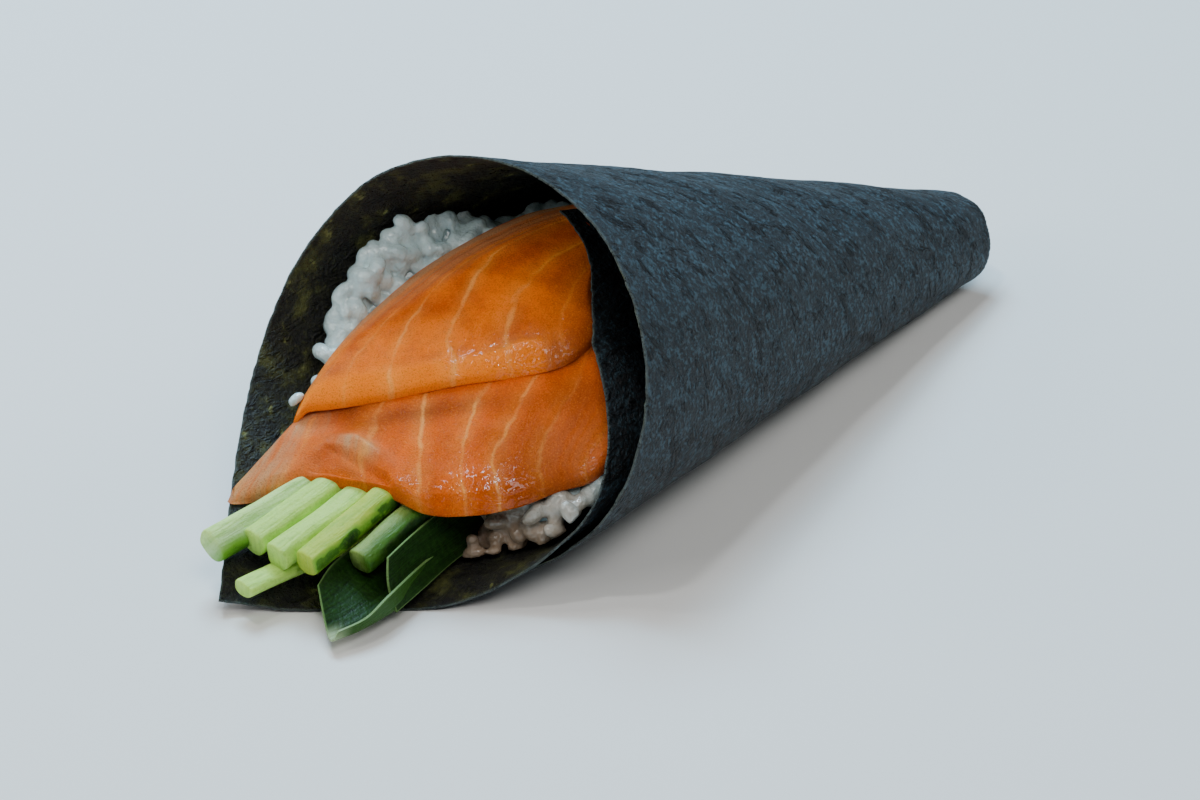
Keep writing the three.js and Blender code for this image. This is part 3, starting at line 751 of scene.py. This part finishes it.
LOWER_SLICE = {
    "lift": -1.75,
    "front": [
        (-20.4, -174.8), (-15, -170.4), (-7.8, -164.8), (2.2, -161.4), (10, -160.2), (15.4, -156.2),
        (19.4, -151), (22, -145.5), (24.8, -139.5), (23, -132), (12, -126),
    ],
    "back": [
        (-21, -172.9), (-21.2, -165), (-21.5, -158), (-21, -148),
        (-17.5, -136), (-10, -127), (-2, -123),
    ],
    "lines": [
        [(-13, -172), (-14, -167.5), (-15.5, -163), (-18, -158)],
        [(-2, -163), (-6.8, -157), (-10.5, -151.5), (-14, -145)],
        [(8, -161), (3, -156.5), (-1.5, -151), (-5.5, -146.5), (-10, -139)],
        [(15, -158.5), (9.4, -154), (5.4, -149.5), (3.6, -145.5), (2.2, -140), (-2, -130)],
        [(18.5, -154), (13, -150.7), (10, -146.1), (8.9, -142.5), (7.2, -136), (4, -128)],
        [(22, -148), (17.5, -146), (15, -142), (13.5, -136), (11, -129)],
    ],
    "crown": 0.35,
    "curl": 0.2,
    "edge_radius": 1.3,
    "hills": [(-6, -158.7, 5, 1.1, -2, 1.5), (-13.5, -156.5, 3.5, 3, 0, -1.3), (12, -154, 8, 2.5, 30, 0.7)],
    "lip": [(-13.5, -160.6), (-10.2, -159.9), (-3.6, -159.8), (0.2, -160), (4.7, -161.4)],
    "lip_drop": 1.1,
    "pale": [(-18, -171, 7, 6, 40, 1.2), (-7.5, -158.9, 4.5, 1.4, 2, 1.2), (20, -141, 6, 8, 20, 0.25)],
    "wet": [(14, -152.5, 7, 2.4, 40, 0.9), (4, -160, 5, 1.2, 10, 0.5), (23, -141, 2, 8, 10, 0.6)],
    # painted shade under the upper slice's edge, in the hollow, under the lip and towards the nori
    "dark": [
        (-15, -153, 4, 3, 0, 0.7), (16, -134, 6, 6, 0, 0.4), (-2.5, -149.5, 13, 1.8, 39, 0.7),
        (-3, -161.9, 5, 0.9, 0, 0.6), (19, -147, 9, 7, 40, 0.6),
    ],
}
SLICE_COLUMNS, SLICE_ROWS = 160, 110
ROWS_TO_FRONT = 1.4  # crowds the rows towards the front edge
SIDE_SLANT = 1.7  # how far a slice's lower edge lies behind the line that its outline follows
TIP_SHARE = 0.15  # the slant begins over this share of the length
LINE_POINTS, LINE_SPACING = 60, 7.0  # spacing is used beyond the first and the last line
TINY = 1e-9
LIP_FADE_LEFT, LIP_FADE_RIGHT, LIP_STEP = 3, -2, 0.7
SLICE_LENGTH, END_RADIUS = 60, 4
RIM_SHARE = 0.25  # the thickness at the very rim, as a share of the whole
LEAST_THICKNESS = 0.4
BACK_DROP, BACK_DROP_OVER = 2.2, 9
FRONT_DROP, FRONT_DROP_OVER = 0.5, 7
CURL_OVER = 3.2
FLAKE_HEIGHT, FLAKE_ROUNDNESS = 0.25, 0.6  # the flesh stands up between the lines of fat
LUMPS = [(0.5, 0.11, 5), (0.16, 0.5, 6)]  # height, scale and seed
SIDE_FADE, SIDE_FADE_X = 8, (5, 8)  # towards +X the cut side's painted light fades out


def ramp_height(x, y):
    side = np.maximum(0, (x - RAMP["sag_from"]) / RAMP["sag_over"])
    return RAMP["height"] + RAMP["rise"] * (y - RAMP["y"]) - RAMP["sag"] * side * side


def signed_distance(points, line):
    """Distance from a line seen from above, below 0 on its left."""
    path = curve_at(np.array(line), np.linspace(0, 1, LINE_POINTS))
    offsets = points[:, None, :2] - path[None, :-1, :]
    steps = path[1:] - path[:-1]
    share = np.clip(np.sum(offsets * steps, -1) / np.sum(steps * steps, -1), 0, 1)
    gap = np.linalg.norm(offsets - steps[None] * share[..., None], axis=-1)
    nearest = np.argmin(gap, 1)
    step, off = steps[nearest], offsets[np.arange(len(points)), nearest]
    sign = np.sign(step[:, 1] * off[:, 0] - step[:, 0] * off[:, 1])
    return sign * gap[np.arange(len(points)), nearest]


def line_coordinate(points, lines):
    """A coordinate that is 0, 1, 2... on the given lines, seen from above."""
    signed = np.array([signed_distance(points, line) for line in lines])
    value = np.where(signed[0] < 0, signed[0] / LINE_SPACING, np.nan)
    for k in range(len(lines) - 1):
        a, b = signed[k], signed[k + 1]
        between = (a >= 0) & (b < 0) & np.isnan(value)
        value = np.where(between, k + a / (a - b + TINY), value)
    last = len(lines) - 1
    return np.where(np.isnan(value), last + np.maximum(signed[last], 0) / LINE_SPACING, value)


def hills(x, y, shapes):
    """Smooth round hills: each its middle, its two radii, its turn in degrees and its height."""
    total = np.zeros_like(x)
    for middle_x, middle_y, long, wide, turn, height in shapes:
        along = (x - middle_x) * cos_deg(turn) + (y - middle_y) * sin_deg(turn)
        across = (y - middle_y) * cos_deg(turn) - (x - middle_x) * sin_deg(turn)
        total += height * np.exp(-((along / long) ** 2) - (across / wide) ** 2)
    return total


def step_down(x, y, shape):
    """The drop in front of the lip, where the slice is thinner."""
    if "lip" not in shape:
        return 0
    line = np.array(shape["lip"])
    in_front = np.interp(x, line[:, 0], line[:, 1]) - y
    inside = rise(x, line[0, 0], LIP_FADE_LEFT) * rise(x, line[-1, 0], LIP_FADE_RIGHT)
    return shape["lip_drop"] * smooth(in_front / LIP_STEP) * inside


def slice_plan(shape, u, v):
    """Places seen from above, and the slice's width, along it (u) and from front to back (v)."""
    front = curve_at(np.array(shape["front"]), u[:, 0])[:, None, :]
    back = curve_at(np.array(shape["back"]), u[:, 0])[:, None, :]
    width = np.linalg.norm(front - back, axis=-1)
    front = front + (back - front) * (SIDE_SLANT * smooth(u / TIP_SHARE) / width)[..., None]
    plan = mix(front, back, v[..., None])
    return plan[..., 0], plan[..., 1], np.linalg.norm(front - back, axis=-1)


def slice_swell(x, y, at, shape):
    """How far the top stands up: between the lines of fat, in lumps and in hills."""
    spot = np.stack([x, y, 0 * x], -1)
    swell = FLAKE_HEIGHT * np.abs(np.sin(np.pi * at)) ** FLAKE_ROUNDNESS
    for height, scale, seed in LUMPS:
        swell += height * noise_at(spot, scale, seed)
    return swell + (hills(x, y, shape["hills"]) - step_down(x, y, shape))


def slice_middle(x, y, shape, from_front, from_back):
    """Height of the slice's middle: the ramp, with a drop to both edges and a curled front."""
    back_drop = -BACK_DROP * (1 - smooth(from_back / BACK_DROP_OVER))
    crown = back_drop - FRONT_DROP * (1 - smooth(from_front / FRONT_DROP_OVER))
    curl = shape["curl"] * (1 - smooth(from_front / CURL_OVER))
    return ramp_height(x, y) + shape["lift"] - SLICE_THICKNESS / 2 + crown * shape["crown"] - curl


def salmon_slice(name, node, shape, material):
    u = np.linspace(0, 1, SLICE_COLUMNS + 1)[:, None]
    v = np.linspace(0, 1, SLICE_ROWS + 1)[None, :] ** ROWS_TO_FRONT
    x, y, width = slice_plan(shape, u, v)
    places = np.stack([x, y], -1).reshape(-1, 2)
    at = line_coordinate(places, shape["lines"]).reshape(x.shape)
    to_side = np.minimum(v, 1 - v) * width
    to_end = np.minimum(u, 1 - u) * SLICE_LENGTH
    rim = np.clip(np.minimum(to_side / shape["edge_radius"], to_end / END_RADIUS), 0, 1)
    body = SLICE_THICKNESS * mix(RIM_SHARE, 1, np.sqrt(1 - (1 - rim) ** 2))
    middle = slice_middle(x, y, shape, v * width, (1 - v) * width)
    bottom = middle - body / 2
    top = middle + body / 2 + slice_swell(x, y, at, shape) * rim
    top = np.maximum(top, bottom + LEAST_THICKNESS)
    faces = [keep_inside(np.stack([x, y, z], -1), 0) for z in (top, bottom)]
    piece = add_slab(name, faces, sharp=80)
    add_map(piece, "flat", at, v)
    # pale is paler flesh, with a painted sheen on the upper slice's lobe; dark is painted shade
    pale, wet, dark = (np.clip(hills(x, y, shape[kind]), 0, 1) for kind in ("pale", "wet", "dark"))
    add_map(piece, "tint", pale, wet)
    from_side = v * width + SIDE_FADE * rise(x, *SIDE_FADE_X)
    add_map(piece, "shade", dark, from_side)
    return finished(piece, node, material)


# ---- cucumber ----

# The middle of a stick's free end, how it leans along X and Z for each millimetre inward,
# its width and height, its turn in degrees, its length, how deep below the skin its near
# side was cut, and its material.
STICKS = {
    "cucumber_1": ((-12.1, -183.9, 8), (0.03, 0.088), (5.4, 4.6), 38, 48, 0.5, "skinned"),
    "cucumber_2": ((-8.3, -179, 8.2), (-0.03, 0.16), (4.4, 4.6), 4, 50, 3.5, "pale"),
    "cucumber_3": ((-3.5, -178.8, 7.7), (-0.03, 0.16), (4.4, 4.6), -4, 50, 3.5, "pale"),
    "cucumber_4": ((-4.1, -185, 4.9), (0.05, 0), (4.2, 2.8), 0, 40, 3.0, "pale"),
    "cucumber_5": ((1.2, -177.2, 8), (-0.06, 0.22), (4.4, 4.4), 6, 46, 0.2, "yellow"),
    # this stick, beside the leaves, takes painted shade
    "cucumber_6": ((5.3, -170.5, 7.2), (-0.07, 0.23), (4.4, 4.2), 0, 42, 0, "in_shade"),
}
SKIN_BULGE = 0.9  # how far the skin side curves out
SKIN_POINTS, OUTLINE_STEP, OUTLINE_SMOOTHING = 9, 0.4, 15
# The cut end's rings, from its middle to its softened rim: how far in and how large.
END_RINGS = [(0, 0.0), (0, 0.9), (0.12, 0.97), (0.35, 1.0)]
STICK_RINGS, FIRST_RING = 60, 0.8
WOBBLE, WOBBLE_SCALE = 0.2, (0.4, 0.12, 0.4)


def stick_section(width, height):
    """A stick's outline: towards the far side (-X), then up. Its skin is on the near side."""
    w, h = width / 2, height / 2
    a, b, c = np.array([(-w, h * 0.9), (-w - SKIN_BULGE, -h * 0.3), (-w * 0.6, -h)])
    t = np.linspace(0, 1, SKIN_POINTS)[:, None]
    skin = (1 - t) ** 2 * a + 2 * t * (1 - t) * b + t**2 * c
    corners = np.concatenate([skin, [(w, -h * 0.94), (w * 0.96, h)]])
    points = []
    for corner, after in zip(corners, np.roll(corners, -1, 0)):
        count = max(1, int(np.linalg.norm(after - corner) / OUTLINE_STEP))
        points += [mix(corner, after, i / count) for i in range(count)]
    outline = np.array(points)
    for _ in range(OUTLINE_SMOOTHING):
        outline = 0.5 * outline + 0.25 * (np.roll(outline, 1, 0) + np.roll(outline, -1, 0))
    return outline


def cucumber_stick(node, materials, seed):
    end, lean, size, turn, length, skin_depth, look = STICKS[node]
    outline = stick_section(*size)
    turn = math.radians(turn)
    spin = np.array([[math.cos(turn), math.sin(turn)], [-math.sin(turn), math.cos(turn)]])
    inward = unit(np.array([lean[0], 1, lean[1]]))
    far_side = unit(np.cross([0, 0, 1], inward))
    upward = np.cross(inward, far_side)
    rings = END_RINGS + [(step, 1.0) for step in np.linspace(FIRST_RING, length, STICK_RINGS)]
    rings[-1] = (length, 0)
    points, depths = [], []
    for along, scale in rings:
        ring = outline * scale
        turned = ring @ spin
        base = np.array(end) + inward * along
        points.append(base + turned[:, :1] * far_side + turned[:, 1:] * upward)
        depths.append(ring[:, 0] - outline[:, 0].min() + skin_depth)
    points = np.array(points)
    wobble = WOBBLE * noise_at(points, WOBBLE_SCALE, seed)[..., None]
    points = (points + wobble * (far_side + upward)).reshape(-1, 3)
    piece = add_mesh(node + "_stick", points, tube_faces(len(rings), len(outline)), sharp=60)
    along = np.array([[step] for step, _ in rings])
    add_map(piece, "flat", np.array(depths) / FLAT_UNIT, along / FLAT_UNIT)
    return finished(piece, node, materials[look])


# ---- leaves ----

# Lines along each leaf from its tip inward, one after the other across it.
LEAF_LEFT = [
    [(4.2, -177.8, 6.2), (2.2, -173.5, 6.6), (0.6, -168, 6.4), (-1, -160, 6.2), (-2, -150, 6)],
    [(8, -180.2, 4.2), (7.2, -174, 3.8), (5.4, -168, 3.6), (3.4, -160, 3.2), (2, -150, 3)],
    [(11.6, -182.2, 2.4), (12.4, -176.5, 1.9), (11.6, -169, 2.0), (8.4, -160, 2.4), (5.6, -150, 2.6)],
    [(12, -181, 3.3), (13, -176.5, 4.0), (12.4, -171.5, 5.2), (9.6, -162, 5.2), (6.8, -151, 4.6)],
]
LEAF_RIGHT = [
    [(13, -170.6, 2.2), (11.6, -164, 2.6), (9.6, -156, 2.8), (8, -146, 3)],
    [(10.6, -170.2, 5.6), (9.4, -164, 5.8), (8, -156, 6), (6.6, -146, 6.2)],
    [(9.2, -168.6, 9), (8, -163, 9.6), (6.6, -156, 10), (4.8, -146, 9.8)],
]
LEAF_COLUMNS, LEAF_ROWS = 72, 40
LEAF_THICKNESS = 0.35
LEAF_WAVE = 0.3
WAVES_ALONG, WAVES_ACROSS = 9, 3  # radians from end to end and from edge to edge


def leaf_blade(name, node, rails, material):
    u = np.linspace(0, 1, LEAF_COLUMNS + 1)
    v = np.linspace(0, 1, LEAF_ROWS + 1)
    lines = np.array([curve_at(np.array(rail), u) for rail in rails])
    middle = np.array([curve_at(lines[:, i], v) for i in range(LEAF_COLUMNS + 1)])
    along, across = np.gradient(middle, axis=0), np.gradient(middle, axis=1)
    normal = unit(np.cross(along, across))
    wave = LEAF_WAVE * np.sin(WAVES_ALONG * u[:, None] + WAVES_ACROSS * v[None, :])
    wave = wave * np.sin(np.pi * v)[None, :]
    offsets = [(wave + side * LEAF_THICKNESS)[..., None] for side in (0.5, -0.5)]
    faces = [keep_inside(middle + normal * offset, 0) for offset in offsets]
    piece = add_slab(name, faces, sharp=60)
    add_map(piece, "flat", u[:, None], v[None, :])
    return finished(piece, node, material)


# ---- rice ----

CORE_DEPTH = 1.3  # how far the core lies below the CAD heap's surface
CORE_VOXEL, CORE_SMOOTHING = 0.6, 4
MOUTH_FROM = -120  # in front of this place along Y the bank shows
BANK_EDGE = [  # height, and how far towards -X the bank's grains lie there
    (18, -23.6), (20.5, -25.8), (23, -29.0), (28, -28.4),
    (31.4, -29.1), (34, -28.2), (36, -26.4), (38, -24.6),
]
RICE_HIDDEN = (-106, -52)  # no grain shows between these places along Y
GRAIN_WIDTH = 3.0
GRAIN_LENGTH = 4.7
GRAIN_RINGS, GRAIN_SIDES = 9, 12
GRAIN_POLES = (0.03, 0.97)  # shares of its length at which its end rings are
GRAIN_TAPER, GRAIN_FLATNESS, GRAIN_BEND = 0.8, 0.88, 0.05
GRAIN_SEED = 11
GRAIN_TRIALS, DIRECTION_TRIALS = 30000, 5
GRAIN_SPACING = 1.9
GRAIN_DEPTHS = (0.7, 1.7)  # how far the middles lie below the heap's surface
GRAIN_SIZES = (0.82, 1.05)
GRAIN_TILT = 0.8  # how far a grain may turn out of the surface
INTO_SOFT, OUT_OF_HEAP = 0.7, 0.3
NORI_MARGIN = 0.45
PROBE_EVERY, PROBE_REACH = 5, 3  # a grain's points that are tested, and how far
VIEW_RAYS, VIEW_RAYS_FREE = 8, 3
VIEW_START, VIEW_REACH, VIEW_SPREAD = 0.3, 5, 0.9
LOOSE_GRAINS = [  # middle, direction and size of those apart from the heap
    ((10.3, -152.6, 3.2), (1, 0.6, 0.5), 0.8),
    ((9.4, -151.9, 4.6), (0.8, -0.6, 1), 0.7),
    ((-22.2, -157.8, 18), (0.5, 1, 0.8), 0.6),
    ((6.8, -121.6, 34.8), (0.2, 1, -0.6), 0.75),
]
RICE_MELT = 0.36  # grains that touch grow together over about this distance
# The near corner's rice takes painted shade, brown with painted light bounced off the salmon, most of all
# low down: where that begins and over how far.
CORNER_SHADE_X, CORNER_SHADE_Y, CORNER_SHADE_HEIGHT = (2, 8), (-138, -6), (6, 8)
CORNER_SHADE_LOW, CORNER_SHADE_HIGH = 0.9, 0.6


def bank_edge(points):
    """How far towards -X the bank's grains lie at the heights of some points."""
    line = np.array(BANK_EDGE)
    return np.interp(points[..., 2], line[:, 0], line[:, 1])


def rice_core(material):
    """The CAD heap worn down all over, so that the grains lie on it."""
    heap = add_object("heap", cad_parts["rice"].data.copy())
    fog = add_object("fog", bpy.data.volumes.new("fog"))
    piece = add_object("rice_core", bpy.data.meshes.new("rice_core"))
    fill = fog.modifiers.new("fill", "MESH_TO_VOLUME")
    fill.object = heap
    fill.resolution_mode = "VOXEL_SIZE"
    fill.voxel_size = CORE_VOXEL * MM
    fill.interior_band_width = 2 * CORE_DEPTH * MM
    skin = piece.modifiers.new("skin", "VOLUME_TO_MESH")
    skin.object = fog
    skin.threshold = 0.5
    piece.modifiers.new("soften", "SMOOTH").iterations = CORE_SMOOTHING
    apply_modifiers(piece)
    bpy.data.objects.remove(fog)
    bpy.data.objects.remove(heap)
    piece.data.materials.clear()
    points = vertices_of(piece.data) / MM - SHIFT
    low = bank_edge(points) + CORE_DEPTH
    points[:, 0] = np.where(points[:, 1] < MOUTH_FROM, np.maximum(points[:, 0], low), points[:, 0])
    piece.data.vertices.foreach_set("co", to_world(points).ravel())
    return finished(piece, "rice", material)


def grain_shape():
    """Points and faces of one grain, long along X, its poles closed by small rings."""
    points = []
    for k in range(GRAIN_RINGS + 1):
        t = mix(*GRAIN_POLES, k / GRAIN_RINGS) * math.pi
        x = -math.cos(t) * GRAIN_LENGTH / 2
        radius = GRAIN_WIDTH / 2 * math.sin(t) ** GRAIN_TAPER
        for i in range(GRAIN_SIDES):
            a = 2 * math.pi * i / GRAIN_SIDES
            height = GRAIN_FLATNESS * radius * math.sin(a) - GRAIN_BEND * x * x
            points.append((x, radius * math.cos(a), height))
    faces = tube_faces(GRAIN_RINGS + 1, GRAIN_SIDES)
    faces.append(tuple(range(GRAIN_SIDES))[::-1])
    faces.append(tuple(GRAIN_RINGS * GRAIN_SIDES + i for i in range(GRAIN_SIDES)))
    return np.array(points), faces


def surface_samples(mesh, count, random):
    """Random points of a mesh's surface with their normals, evenly over its area."""
    mesh.calc_loop_triangles()
    corners = np.array([t.vertices for t in mesh.loop_triangles])
    places = vertices_of(mesh)[corners]
    cross = np.cross(places[:, 1] - places[:, 0], places[:, 2] - places[:, 0])
    area = np.linalg.norm(cross, axis=1)
    chosen = random.choice(len(area), count, p=area / area.sum())
    s, t = random.random((2, count))
    s, t = (np.where(s + t > 1, 1 - share, share)[:, None] for share in (s, t))
    a, b, c = places[chosen].swapaxes(0, 1)
    points = a + s * (b - a) + t * (c - a)
    return points, cross[chosen] / np.maximum(area[chosen], 1e-12)[:, None]


def surfaces_of(pieces):
    """One search tree over the faces of several pieces."""
    corners, polygons = [], []
    for piece in pieces:
        first = len(corners)
        corners += [v.co for v in piece.data.vertices]
        polygons += [[first + i for i in p.vertices] for p in piece.data.polygons]
    return BVHTree.FromPolygons(corners, polygons)


def open_to_view(point, normal, tree, random):
    """Whether enough of the directions that leave a point of the heap meet nothing near."""
    free = 0
    for _ in range(VIEW_RAYS):
        direction = unit(normal + VIEW_SPREAD * unit(random.normal(size=3)))
        start = Vector(point + normal * VIEW_START * MM)
        free += tree.ray_cast(start, Vector(direction), VIEW_REACH * MM)[0] is None
    return free >= VIEW_RAYS_FREE


def has_room(centre, centres):
    """Whether a grain may lie at a place: it can show, and no other grain is too near."""
    if RICE_HIDDEN[0] < centre[1] < RICE_HIDDEN[1]:
        return False
    if centre[1] < MOUTH_FROM and centre[0] < bank_edge(centre):
        return False
    if not centres:
        return True
    return np.min(np.linalg.norm(np.array(centres) - centre, axis=1)) >= GRAIN_SPACING


def reach(points, tree, side):
    """How far points reach to the inner (-1) or outer (1) side of some surfaces."""
    furthest = 0
    for point in points[::PROBE_EVERY]:
        found, normal, _, gap = tree.find_nearest(Vector(point), PROBE_REACH * MM)
        if found and (Vector(point) - found).dot(normal) * side > 0:
            furthest = max(furthest, gap)
    return furthest / MM


def grain_at(centre, direction, normal, shape):
    """The points of one grain, lying along a direction, pushed in where the nori holds it."""
    side = unit(np.cross(normal, direction))
    up = np.cross(direction, side)
    places = centre + shape[:, :1] * direction + shape[:, 1:2] * side + shape[:, 2:] * up
    return keep_inside(places, NORI_MARGIN)


def fitted_grain(centre, normal, shape, soft, heap, random):
    """The points of a grain that clears its neighbours, or None where no direction does."""
    for _ in range(DIRECTION_TRIALS):
        direction = unit(np.cross(normal, random.normal(size=3)))
        direction = unit(direction + normal * random.uniform(-GRAIN_TILT, GRAIN_TILT))
        places = grain_at(centre, direction, normal, shape * random.uniform(*GRAIN_SIZES))
        world = to_world(places)
        if reach(world, soft, -1) < INTO_SOFT and reach(world, heap, 1) < OUT_OF_HEAP:
            return places
    return None


def grains_on_heap(soft_pieces, nori, shape):
    """Grains over the parts of the heap that nothing covers."""
    random = np.random.default_rng(GRAIN_SEED)
    soft, everything = surfaces_of(soft_pieces), surfaces_of([*soft_pieces, nori])
    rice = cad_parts["rice"]
    heap = surfaces_of([rice])
    centres, grains = [], []
    for point, normal in zip(*surface_samples(rice.data, GRAIN_TRIALS, random)):
        centre = point / MM - SHIFT - normal * random.uniform(*GRAIN_DEPTHS)
        if not has_room(centre, centres) or not open_to_view(point, normal, everything, random):
            continue
        places = fitted_grain(centre, normal, shape, soft, heap, random)
        if places is not None:
            centres.append(centre)
            grains.append(places)
    return grains


def melt(piece):
    """Joins grains that touch into sticky lumps, with soft hollows between them."""
    skin = piece.modifiers.new("skin", "REMESH")
    skin.mode = "VOXEL"
    skin.voxel_size = RICE_MELT * MM
    piece.modifiers.new("soften", "SMOOTH").iterations = 1
    apply_modifiers(piece)


def rice_grains(soft_pieces, nori, material):
    """The grains that show, and the few that lie apart."""
    shape, faces = grain_shape()
    grains = grains_on_heap(soft_pieces, nori, shape)
    for centre, direction, size in LOOSE_GRAINS:
        grains.append(grain_at(np.array(centre), unit(np.array(direction)), UP, shape * size))
    count = len(shape)
    all_faces = [tuple(count * k + i for i in face) for k in range(len(grains)) for face in faces]
    piece = add_mesh("rice_grains", np.concatenate(grains), all_faces)
    melt(piece)
    x, y, z = (vertices_of(piece.data) / MM - SHIFT).T
    # painted shade in the near corner, strongest low down
    near_corner = rise(x, *CORNER_SHADE_X) * rise(y, *CORNER_SHADE_Y)
    corner_shade = near_corner * mix(CORNER_SHADE_LOW, CORNER_SHADE_HIGH, rise(z, *CORNER_SHADE_HEIGHT))
    add_map(piece, "flat", corner_shade, corner_shade)
    return finished(piece, "rice", material)


# ---- studio ----

FLOOR_REACH = 3.0  # metres
CAMERA_PLACE = (462.84, -578.75, 398.19)
CAMERA_AZIMUTH, CAMERA_ELEVATION = 45.0, 30.7
LAMP_DISTANCE, LAMP_AIM = 0.7, Vector((0, -0.03, 0.02))  # metres
# Azimuth, 0 in front of the mouth and 90 at +X, elevation, watts, colour and size in metres.
# The small ones are for the glints on the wet places.
LAMPS = {
    "key": (60, 55, 1.75, (1, 0.98, 0.95), 0.3),
    "left_front": (-20, 30, 1.1, (1, 0.97, 0.92), 0.3),
    "left": (-60, 30, 0.65, (1, 0.97, 0.92), 0.3),
    "right": (100, 55, 0.28, (1, 0.95, 0.86), 0.3),
    "sky_behind": (-120, 55, 7.2, (0.48, 0.77, 1), 0.3),
    "low_behind": (150, 30, 0.75, (0.9, 0.95, 0.95), 0.3),
    "glint": (-50, 79, 0.8, (1, 1, 1), 0.05),
    "side_glint": (-84, 66, 0.4, (1, 1, 1), 0.05),
}


def outward(azimuth, elevation):
    a, e = math.radians(azimuth), math.radians(elevation)
    return Vector((math.sin(a) * math.cos(e), -math.cos(a) * math.cos(e), math.sin(e)))


def add_lamp(name, azimuth, elevation, watts, colour, size):
    """A square lamp that faces the roll."""
    light = bpy.data.lights.new(name, "AREA")
    light.shape = "SQUARE"
    light.size = size
    light.energy = watts
    light.color = colour
    lamp = add_object(name, light)
    lamp.location = LAMP_AIM + outward(azimuth, elevation) * LAMP_DISTANCE
    lamp.rotation_euler = (-outward(azimuth, elevation)).to_track_quat("-Z", "Y").to_euler()


def studio():
    r = FLOOR_REACH
    floor_mesh = bpy.data.meshes.new("floor")
    floor_mesh.from_pydata([(-r, -r, 0), (r, -r, 0), (r, r, 0), (-r, r, 0)], [], [(0, 1, 2, 3)])
    floor = add_object("floor", floor_mesh)
    paint = Shader("floor_paint")
    paint.base(Base_Color=(0.85, 0.85, 0.84), Roughness=0.8)
    floor.data.materials.append(paint.material)

    world = bpy.data.worlds.new("studio")
    bpy.context.scene.world = world
    world.use_nodes = True
    background = world.node_tree.nodes["Background"]
    background.inputs["Color"].default_value = (0.86, 0.93, 1.0, 1)
    background.inputs["Strength"].default_value = 0.06

    for name, values in LAMPS.items():
        add_lamp(name, *values)


def camera():
    """A long lens at the photograph's viewing angle."""
    data = bpy.data.cameras.new("camera")
    data.lens = 150
    data.sensor_width = 36
    data.clip_start, data.clip_end = 0.05, 10
    view = add_object("camera", data)
    view.location = to_world(CAMERA_PLACE)
    forward = -outward(CAMERA_AZIMUTH, CAMERA_ELEVATION)
    view.rotation_euler = forward.to_track_quat("-Z", "Y").to_euler()
    bpy.context.scene.camera = view


camera()
studio()

nori = nori_sheet()
FAT_UPPER = (0.35, 0.4, 0.75, 1.0, 0.75, 0.25)
FAT_LOWER = (0.5, 0.6, 0.85, 0.85, 0.75, 0.3)
flesh_upper = salmon_material("salmon_upper", SALMON_BRIGHT, FAT_UPPER, lit_side=0.9)
flesh_lower = salmon_material("salmon_lower", SALMON_RICH, FAT_LOWER, lit_side=0.1)
upper = salmon_slice("salmon_slice_upper", "salmon_upper", UPPER_SLICE, flesh_upper)
lower = salmon_slice("salmon_slice_lower", "salmon_lower", LOWER_SLICE, flesh_lower)

materials = {
    "skinned": cucumber_material("cucumber_skinned", CUCUMBER_BLUISH, CUCUMBER_CORE),
    # the stick beside the leaves, in painted shade
    "in_shade": cucumber_material("cucumber_in_shade", CUCUMBER_FLESH_IN_SHADE, CUCUMBER_FLESH_IN_SHADE, green=CUCUMBER_SHADED),
    "pale": cucumber_material("cucumber_pale", CUCUMBER_PALE, CUCUMBER_PALE),
    "yellow": cucumber_material("cucumber_yellow", CUCUMBER_YELLOW, CUCUMBER_YELLOW, rind=0.11),
}
sticks = [cucumber_stick(node, materials, seed) for seed, node in enumerate(STICKS)]

pale_tipped = leaf_material("leaf_left", band=0.6, tip_paleness=1.0)
plain_green = leaf_material("leaf_right", band=0.0, tip_paleness=0.0)
leaves = [
    leaf_blade("leaf_blade_left", "leaf_left", LEAF_LEFT, pale_tipped),
    leaf_blade("leaf_blade_right", "leaf_right", LEAF_RIGHT, plain_green),
]

# the core between the grains takes painted shade
rice_core(rice_material("rice_between_shaded", RICE_DEEP_SHADE, RICE_GREY_AND_SHADE))
rice_look = rice_material("rice", RICE_GREY_AND_SHADE, RICE_PALE, corner_shaded=True)
rice_grains([upper, lower, *sticks, *leaves], nori, rice_look)
